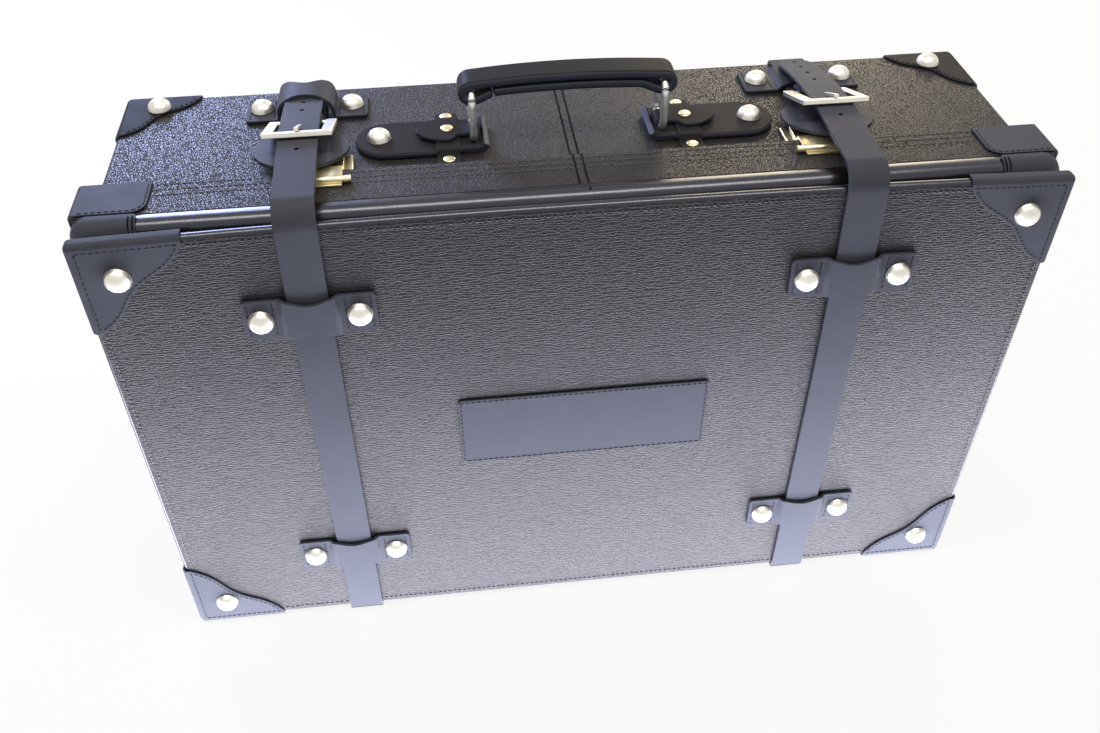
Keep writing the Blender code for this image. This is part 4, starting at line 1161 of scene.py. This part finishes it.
class SUITCASE_OT_loops(bpy.types.Operator):
    """Adds the riveted loops that hold the straps"""

    bl_idname = "suitcase.loops"
    bl_label = "Strap loops"

    def execute(self, context):
        size = sizes("leather")
        low = self.model(size.strap_thickness + FIT, size.loop_waist)
        high = self.model(TOP_LOOP_HIGH.z - TOP_LOOP_LOW.z - size.trim_thickness, 0.0062, 0.0030)
        rows = {"lid": [], "base": []}

        def add(model, node, body, place):
            settle_trim(copied(model, f"{node}_leather", place), body, [node])
            rows[body] += placed_rows(self.seams(), size.trim_thickness, place)

        for name, side in SIDES.items():
            x = side * STRAP_X
            for level, z in LOOP_LEVELS.items():
                add(low, f"front_loop_{level}_{name}", "lid", at(x, FRONT_FACE, z) @ ALONG_FRONT)
                add(low, f"rear_loop_{level}_{name}", "base", at(x, BACK_FACE, z) @ ALONG_BACK)
            # The left one stands high over its strap
            add(high if side < 0 else low, f"top_loop_{name}", "base", at(x, TOP_LOOP_Y, SEAT))
        removed(low, high)
        stitch_rows("front_loop_stitches", "lid", rows["lid"])
        stitch_rows("rear_loop_stitches", "base", rows["base"])
        return {"FINISHED"}

    def model(self, rise, waist, forward=0.0):
        """Strip that is flat at both ends and arches over the strap, with its edges cut in there.

        A high arch is round, and its narrow middle is set forward.
        """
        thickness = sizes("leather").trim_thickness
        top_half = STRAP_WIDTH / 2 + 0.0006 + thickness / 2
        ramp = 0.0042
        foot = top_half + ramp
        waist_reach = 0.0195

        def cut(along):
            return math.cos(math.pi / 2 * min(1.0, abs(along) / waist_reach)) ** 2

        places = [-LOOP_REACH, -LOOP_REACH + 0.004, -foot - 0.003]
        places += [-foot + ramp * i / 8 for i in range(9)]
        places += [-top_half + top_half * i / 5 for i in range(1, 6)]
        places += [-p for p in places[-2::-1]]
        path, widths = [], []
        for along in places:
            share = smooth_step((foot - abs(along)) / ramp)
            if forward:
                share = max(0.0, 1 - (abs(along) / foot) ** 3) ** (1 / 3)
            bulge = 0.0006 * max(0.0, 1 - (along / top_half) ** 2)
            path.append((along, thickness / 2 + rise * share + bulge))
            widths.append(LOOP_WIDTH - 2 * waist * cut(along))
        made = strip("loop", path, widths, thickness, 0.0025)
        for vert in made.data.vertices:
            vert.co.x -= forward * cut(vert.co.y)
        made.data.transform(quarter(1))
        return made

    def seams(self):
        """Rows across both ends of a loop, on either side of its rivet."""
        half = LOOP_WIDTH / 2 - 0.002
        places = [side * (LOOP_REACH - back) for side in (-1, 1) for back in (0.003, 0.0195)]
        return [[(along, -half), (along, half)] for along in places]


class SUITCASE_OT_straps(bpy.types.Operator):
    """Adds both straps, with their punched tails and the fold that holds the buckle"""

    bl_idname = "suitcase.straps"
    bl_label = "Straps"

    def execute(self, context):
        thickness = sizes("leather").strap_thickness
        radius = tail_circle(thickness)
        front = front_strap_path(thickness)
        rear = rear_strap_path(thickness)
        tip = [STRAP_WIDTH * share for share in (0.97, 0.82, 0.6)]
        widths = [STRAP_WIDTH] * (len(front) - len(tip)) + tip
        for name, side in SIDES.items():
            place = at(side * STRAP_X, 0, 0)
            model = strip(f"front_strap_{name}_leather", front, widths, thickness, 0.0, 0.0006)
            model.data.transform(place)
            holes = []
            # Holes from front to back
            for y in (-0.026, 0.0305, 0.0455, 0.0605, 0.0755):
                lean = Matrix.Rotation(-math.asin((y - SPLIT) / radius), 4, "X")
                spot = on_tail(max(y, SPLIT), radius)
                holes.append(at(side * STRAP_X, y, spot[1]) @ lean)
            punched(model, holes, 0.0016)
            settle_trim(model, "lid", [f"front_strap_{name}"])
            model = strip(f"rear_strap_{name}_leather", rear, STRAP_WIDTH, thickness, 0.003, 0.0006)
            model.data.transform(place)
            settle_trim(model, "base", [f"rear_strap_{name}"])
        return {"FINISHED"}


def tail_circle(thickness):
    """Radius of the circle round the hinge on which a strap's tail lies."""
    rise = 3 * FIT + thickness * 1.5 + sizes("leather").trim_thickness
    return math.hypot(TOP_LOOP_HIGH.y - SPLIT, BASE_HIGH.z + rise - HINGE.z)


def on_tail(y, radius):
    turn = math.asin((y - SPLIT) / radius)
    return SPLIT + radius * math.sin(turn), HINGE.z + radius * math.cos(turn)


def front_strap_path(thickness):
    """From under the lid, up the panel, over its top edge and back along the tail's circle."""
    face = FRONT_FACE - thickness / 2
    edge = 0.002
    radius = tail_circle(thickness)
    bend_radius = 0.015
    tail_start = SPLIT + 0.010
    start = on_tail(tail_start, radius)
    bend = (face + bend_radius, PANEL_HIGH.z - 0.0025)
    slope = math.degrees(math.atan2(start[1] - bend[1] - bend_radius, start[0] - bend[0]))
    path = [(SPLIT - 0.004, thickness / 2)]
    path += arc((PANEL_LOW.y + edge, PANEL_LOW.z + edge), edge + FIT + thickness / 2, 270, 180)
    path += [(face, PANEL_LOW.z + 0.03 * i) for i in range(1, 13)]
    path += arc(bend, bend_radius, 180, 90 + slope, 14)
    step = (STRAP_HIGH.y - tail_start) / 16
    return path + [on_tail(tail_start + step * i, radius) for i in range(17)]


def rear_strap_path(thickness):
    """From under the base, up its back, along its top and round the buckle's heel bar."""
    edge = 0.003
    reach = edge + FIT + thickness / 2
    corner_y = BASE_HIGH.y - edge
    lift = (TOP_LOOP_LOW.y, SEAT + thickness / 2)
    wrap = 0.0016 + FIT + thickness / 2
    toward = (lift[0] - HEEL.y, HEEL.z - lift[1])
    slope = math.atan2(toward[1], toward[0]) - math.asin(wrap / math.hypot(*toward))
    path = [(SPLIT + 0.004, thickness / 2)]
    path += arc((corner_y, BASE_LOW.z + edge), reach, 270, 360)
    path += arc((corner_y, BASE_HIGH.z - edge), reach, 0, 90)
    path += [lift]
    end = 70
    path += arc((HEEL.y, HEEL.z), wrap, 270 - math.degrees(slope), end, 12)
    away = Vector((math.sin(math.radians(end)), -math.cos(math.radians(end))))
    return path + [tuple(Vector(path[-1]) + away * 0.012)]


class SUITCASE_OT_rivets(bpy.types.Operator):
    """Adds the domed nickel rivets and the flat brass ones"""

    bl_idname = "suitcase.rivets"
    bl_label = "Rivets"

    def execute(self, context):
        patch = sizes("leather").patch_thickness + FIT
        trim = sizes("leather").trim_thickness + FIT
        inset = 0.0245
        lid, base, feet = [], [], []
        for side in SIDES.values():
            x = side * (PANEL_HIGH.x - inset)
            for z in (PANEL_LOW.z + inset, PANEL_HIGH.z - inset):
                lid.append(at(x, PANEL_LOW.y - patch, z) @ ALONG_FRONT)
            x = side * (BASE_HIGH.x - inset)
            for z in (BASE_LOW.z + inset, BASE_HIGH.z - inset):
                base.append(at(x, BASE_HIGH.y + patch, z) @ ALONG_BACK)
            base.append(at(x, BASE_HIGH.y - 0.018, BASE_HIGH.z + patch))
        for side in SIDES.values():
            for spread in (-0.031, 0.031):
                x = side * STRAP_X + spread
                for z in LOOP_LEVELS.values():
                    lid.append(at(x, PANEL_LOW.y - trim, z) @ ALONG_FRONT)
                    base.append(at(x, BASE_HIGH.y + trim, z) @ ALONG_BACK)
                base.append(at(x, TOP_LOOP_Y, BASE_HIGH.z + trim))
            base.append(at(side * (ANCHOR_HIGH.x - 0.016), RING_FOOT.y, SEAT + 0.004))
            x = side * (FEET_LOW.x + FEET_HIGH.x) / 2
            feet.append(at(x, RING_FOOT.y, SEAT + 0.0086))
            for y in (FEET_LOW.y + 0.005, FEET_HIGH.y - 0.005):
                feet.append(at(x, y, SEAT + 0.0016))
        dome = dome_model()
        flat = flat_rivet_model()
        for name, model, places, body, metal, finish in (
            ("lid_rivets", dome, lid, "lid", "nickel", "nickel_plate"),
            ("base_rivets", dome, base, "base", "nickel", "nickel_plate"),
            ("flat_rivets", flat, feet, "base", "brass", "polished_brass"),
        ):
            heads = [copied(model, "rivet_head", place) for place in places]
            settle(joined(name, heads), body, finish, (), 60)
        removed(dome, flat)
        return {"FINISHED"}


class SUITCASE_OT_buckles(bpy.types.Operator):
    """Adds buckle frames, prongs and the oval guards under them"""

    bl_idname = "suitcase.buckles"
    bl_label = "Buckles"

    def execute(self, context):
        for name in SIDES:
            for part, body, radius in (("frame", "buckle", 0.0004), ("prong", "prong", 0.0005)):
                node = f"buckle_{part}_{name}"
                piece = refined(node, f"{node}_metal", radius)
                settle(piece, f"{body}_{name}", "nickel_plate", [node])
            node = f"buckle_guard_{name}"
            guard = refined(node, f"{node}_leather", 0.0008, 3)
            settle(guard, "base", "bridle_leather", [node])
        return {"FINISHED"}


class SUITCASE_OT_locks(bpy.types.Operator):
    """Adds the locks, their hasps and knobs, and the hinges"""

    bl_idname = "suitcase.locks"
    bl_label = "Locks and hinges"

    def execute(self, context):
        for name in SIDES:
            for part, body, radius in (
                ("lock_body", "base", 0.0005),
                ("lock_hasp", "lid", 0.0003),
                ("lock_knob", f"knob_{name}", 0.0005),
                ("hinge_leaf_base", "base", 0.0002),
                ("hinge_leaf_lid", "lid", 0.0002),
                ("hinge_pin", "base", 0.0002),
            ):
                node = f"{part}_{name}"
                piece = refined(node, f"{node}_metal", radius)
                settle(piece, body, "polished_brass", [node], 60)
        return {"FINISHED"}


class SUITCASE_OT_handle(bpy.types.Operator):
    """Adds the handle: anchors, tabs, cross straps, rings and the bowed grip"""

    bl_idname = "suitcase.handle"
    bl_label = "Handle"

    def execute(self, context):
        wire = sizes("metal").ring_wire / 2
        # The ring's legs stand clear of the grip's strap, which runs between them
        spread = sizes("leather").grip_width / 2 + 0.0004 + wire
        for name, side in SIDES.items():
            place = at(0, RING_FOOT.y, 0) @ Matrix.Diagonal((side, 1, 1, 1))
            for part, model in self.anchor().items():
                model.data.transform(place)
                if side < 0:
                    model.data.flip_normals()
                model.name = f"handle_{part}_{name}_leather"
                nodes = () if part == "cup" else [f"handle_{part}_{name}"]
                # Their darker copy of the smooth leather is painted shade
                settle_trim(model, "base", nodes, face="oiled_bridle_leather")
            node = f"handle_ring_{name}"
            low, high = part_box(node)
            inset = (high.x - low.x) / 2
            foot = (RING_FOOT.y - spread, low.z + inset)
            top = (RING_FOOT.y + spread, high.z - inset)
            line = [(side * abs(RING_FOOT.x), y, z) for y, z in rounded_rectangle(foot, top, 0.0075, 7)]
            settle(tube(f"{node}_metal", line, wire, 16, True), node, "chromed_wire", [node], 70)
        self.grip()
        return {"FINISHED"}

    def anchor(self):
        """Right anchor: padded plate, the cup under the ring, the strap across, and the folded tab."""
        bar = (RING_FOOT.x, RING_FOOT.z)
        half = (ANCHOR_HIGH.y - ANCHOR_LOW.y) / 2

        neck = [(bar[0] + 0.006, -half + 0.003), (bar[0] + 0.012, -half)]
        outline = neck + arc((ANCHOR_HIGH.x - half, 0), half, -90, 90, 16) + [(a, -b) for a, b in neck[::-1]]
        padded = plate("anchor", outline, 0.0042, 1, 0.0015)
        padded.data.transform(at(0, 0, SEAT))

        thick = 0.0043
        turn = 0.0058
        low = SEAT + thick / 2
        line = [(bar[0] + 0.014, low), (bar[0] + 0.004, low)]
        line += arc((bar[0] - 0.003, low + turn), turn, 270, 200)
        cup = strip("cup", line, 2 * half - 0.004, thick, 0.0, 0.0016)
        cup.data.transform(quarter(-1))

        thick = 0.0016
        low, high = SEAT + thick / 2, SEAT + 0.0051
        edge = [(half + 0.0119, low), (half + 0.0022, low), (half + 0.0012, low + 0.0004)]
        edge += [(half + 0.0006, low + 0.0018), (half - 0.0002, high - 0.0007)]
        edge += [(half - 0.0016, high), (half - 0.008, high)]
        line = [(-a, b) for a, b in edge] + edge[::-1]
        cross = strip("cross_strap", line, FEET_HIGH.x - FEET_LOW.x, thick, 0.003, 0.0005)
        cross.data.transform(at((FEET_LOW.x + FEET_HIGH.x) / 2, 0, 0))

        thick = 0.0024
        level = SEAT + 0.0062 + thick / 2
        # Distance from the bar and width, in millimetres
        shape = [(5.5, 13.6), (10.5, 15.0), (13.0, 22.5), (16.0, 26.2), (21.0, 26.4)]
        shape += [(26.0, 24.0), (31.0, 18.8), (35.0, 12.6), (37.2, 7.8), (38.4, 3.0)]
        line = arc(bar, 0.0040, 200, 75, 9)
        widths = [0.0136] * len(line) + [wide / 1000 for _, wide in shape]
        line += [(bar[0] + step / 1000, level) for step, _ in shape]
        tab = strip("tab", line, widths, thick, 0.0, 0.0007)
        tab.data.transform(quarter(-1))
        return {"anchor": padded, "cup": cup, "cross_strap": cross, "tab": tab}

    def grip(self):
        """Padded strap that runs round both rings and lies double between them."""
        size = sizes("leather")
        reach = RING_FOOT.x
        thick = 0.0060
        turn = 0.0056

        def upper(x):
            return x, RING_TOP.z + turn + size.grip_bow * (1 - (x / reach) ** 2)

        def lower(x):
            drop = 2 * turn - (2 * turn - thick - 0.0004) * smooth_step((reach - abs(x)) / 0.017)
            return x, upper(x)[1] - drop

        # The ends meet under the left ring's inner side
        seam = -0.0500
        gap = 0.0003
        steps = 36
        curl = arc((-reach, RING_TOP.z), turn, 270, 90, 16)
        line = [lower(seam - back) for back in (gap, 0.004, 0.008, 0.011)] + curl
        line += [upper(reach * i / 12) for i in range(-11, 12)] + [(-a, b) for a, b in curl[::-1]]
        line += [lower(reach + (seam + gap - reach) * i / steps) for i in range(1, steps + 1)]
        cover = strip("grip_cover", line, size.grip_width, thick, 0.0, 0.0021)
        cover.data.transform(at(0, RING_TOP.y, 0) @ quarter(-1))
        # Its darker copy of the smooth leather is painted shade
        settle_trim(cover, "handle_grip", ["handle_grip"], 50, "oiled_bridle_leather")


class SUITCASE_PT_panel(bpy.types.Panel):
    """Sizes, colours and pieces of the suitcase"""

    bl_idname = "SUITCASE_PT_panel"
    bl_label = "Suitcase"
    bl_space_type = "VIEW_3D"
    bl_region_type = "UI"
    bl_category = "Suitcase"

    def draw(self, context):
        for group in ("leather", "sewing", "metal", "colours"):
            box = self.layout.box()
            for name in sizes(group).bl_rna.properties.keys():
                if name not in ("rna_type", "name"):
                    box.prop(sizes(group), name)
        for operator in OPERATORS:
            self.layout.operator(operator.bl_idname)


GROUPS = {
    "leather": SuitcaseLeatherSizes,
    "sewing": SuitcaseSewingSizes,
    "metal": SuitcaseMetalSizes,
    "colours": SuitcaseColours,
}
OPERATORS = (
    SUITCASE_OT_stage,
    SUITCASE_OT_case,
    SUITCASE_OT_rim_sleeves,
    SUITCASE_OT_patches,
    SUITCASE_OT_panel_seams,
    SUITCASE_OT_loops,
    SUITCASE_OT_straps,
    SUITCASE_OT_rivets,
    SUITCASE_OT_buckles,
    SUITCASE_OT_locks,
    SUITCASE_OT_handle,
)


def register():
    for kind in (*GROUPS.values(), *OPERATORS, SUITCASE_PT_panel):
        bpy.utils.register_class(kind)
    for name, group in GROUPS.items():
        setattr(bpy.types.Scene, f"suitcase_{name}", PointerProperty(type=group))


def unregister():
    for name in GROUPS:
        delattr(bpy.types.Scene, f"suitcase_{name}")
    for kind in (SUITCASE_PT_panel, *reversed(OPERATORS), *GROUPS.values()):
        bpy.utils.unregister_class(kind)


def main():
    register()
    bpy.ops.suitcase.stage()
    bpy.ops.suitcase.case()
    bpy.ops.suitcase.rim_sleeves()
    bpy.ops.suitcase.patches()
    bpy.ops.suitcase.panel_seams()
    bpy.ops.suitcase.loops()
    bpy.ops.suitcase.straps()
    bpy.ops.suitcase.rivets()
    bpy.ops.suitcase.buckles()
    bpy.ops.suitcase.locks()
    bpy.ops.suitcase.handle()


if __name__ == "__main__":
    main()
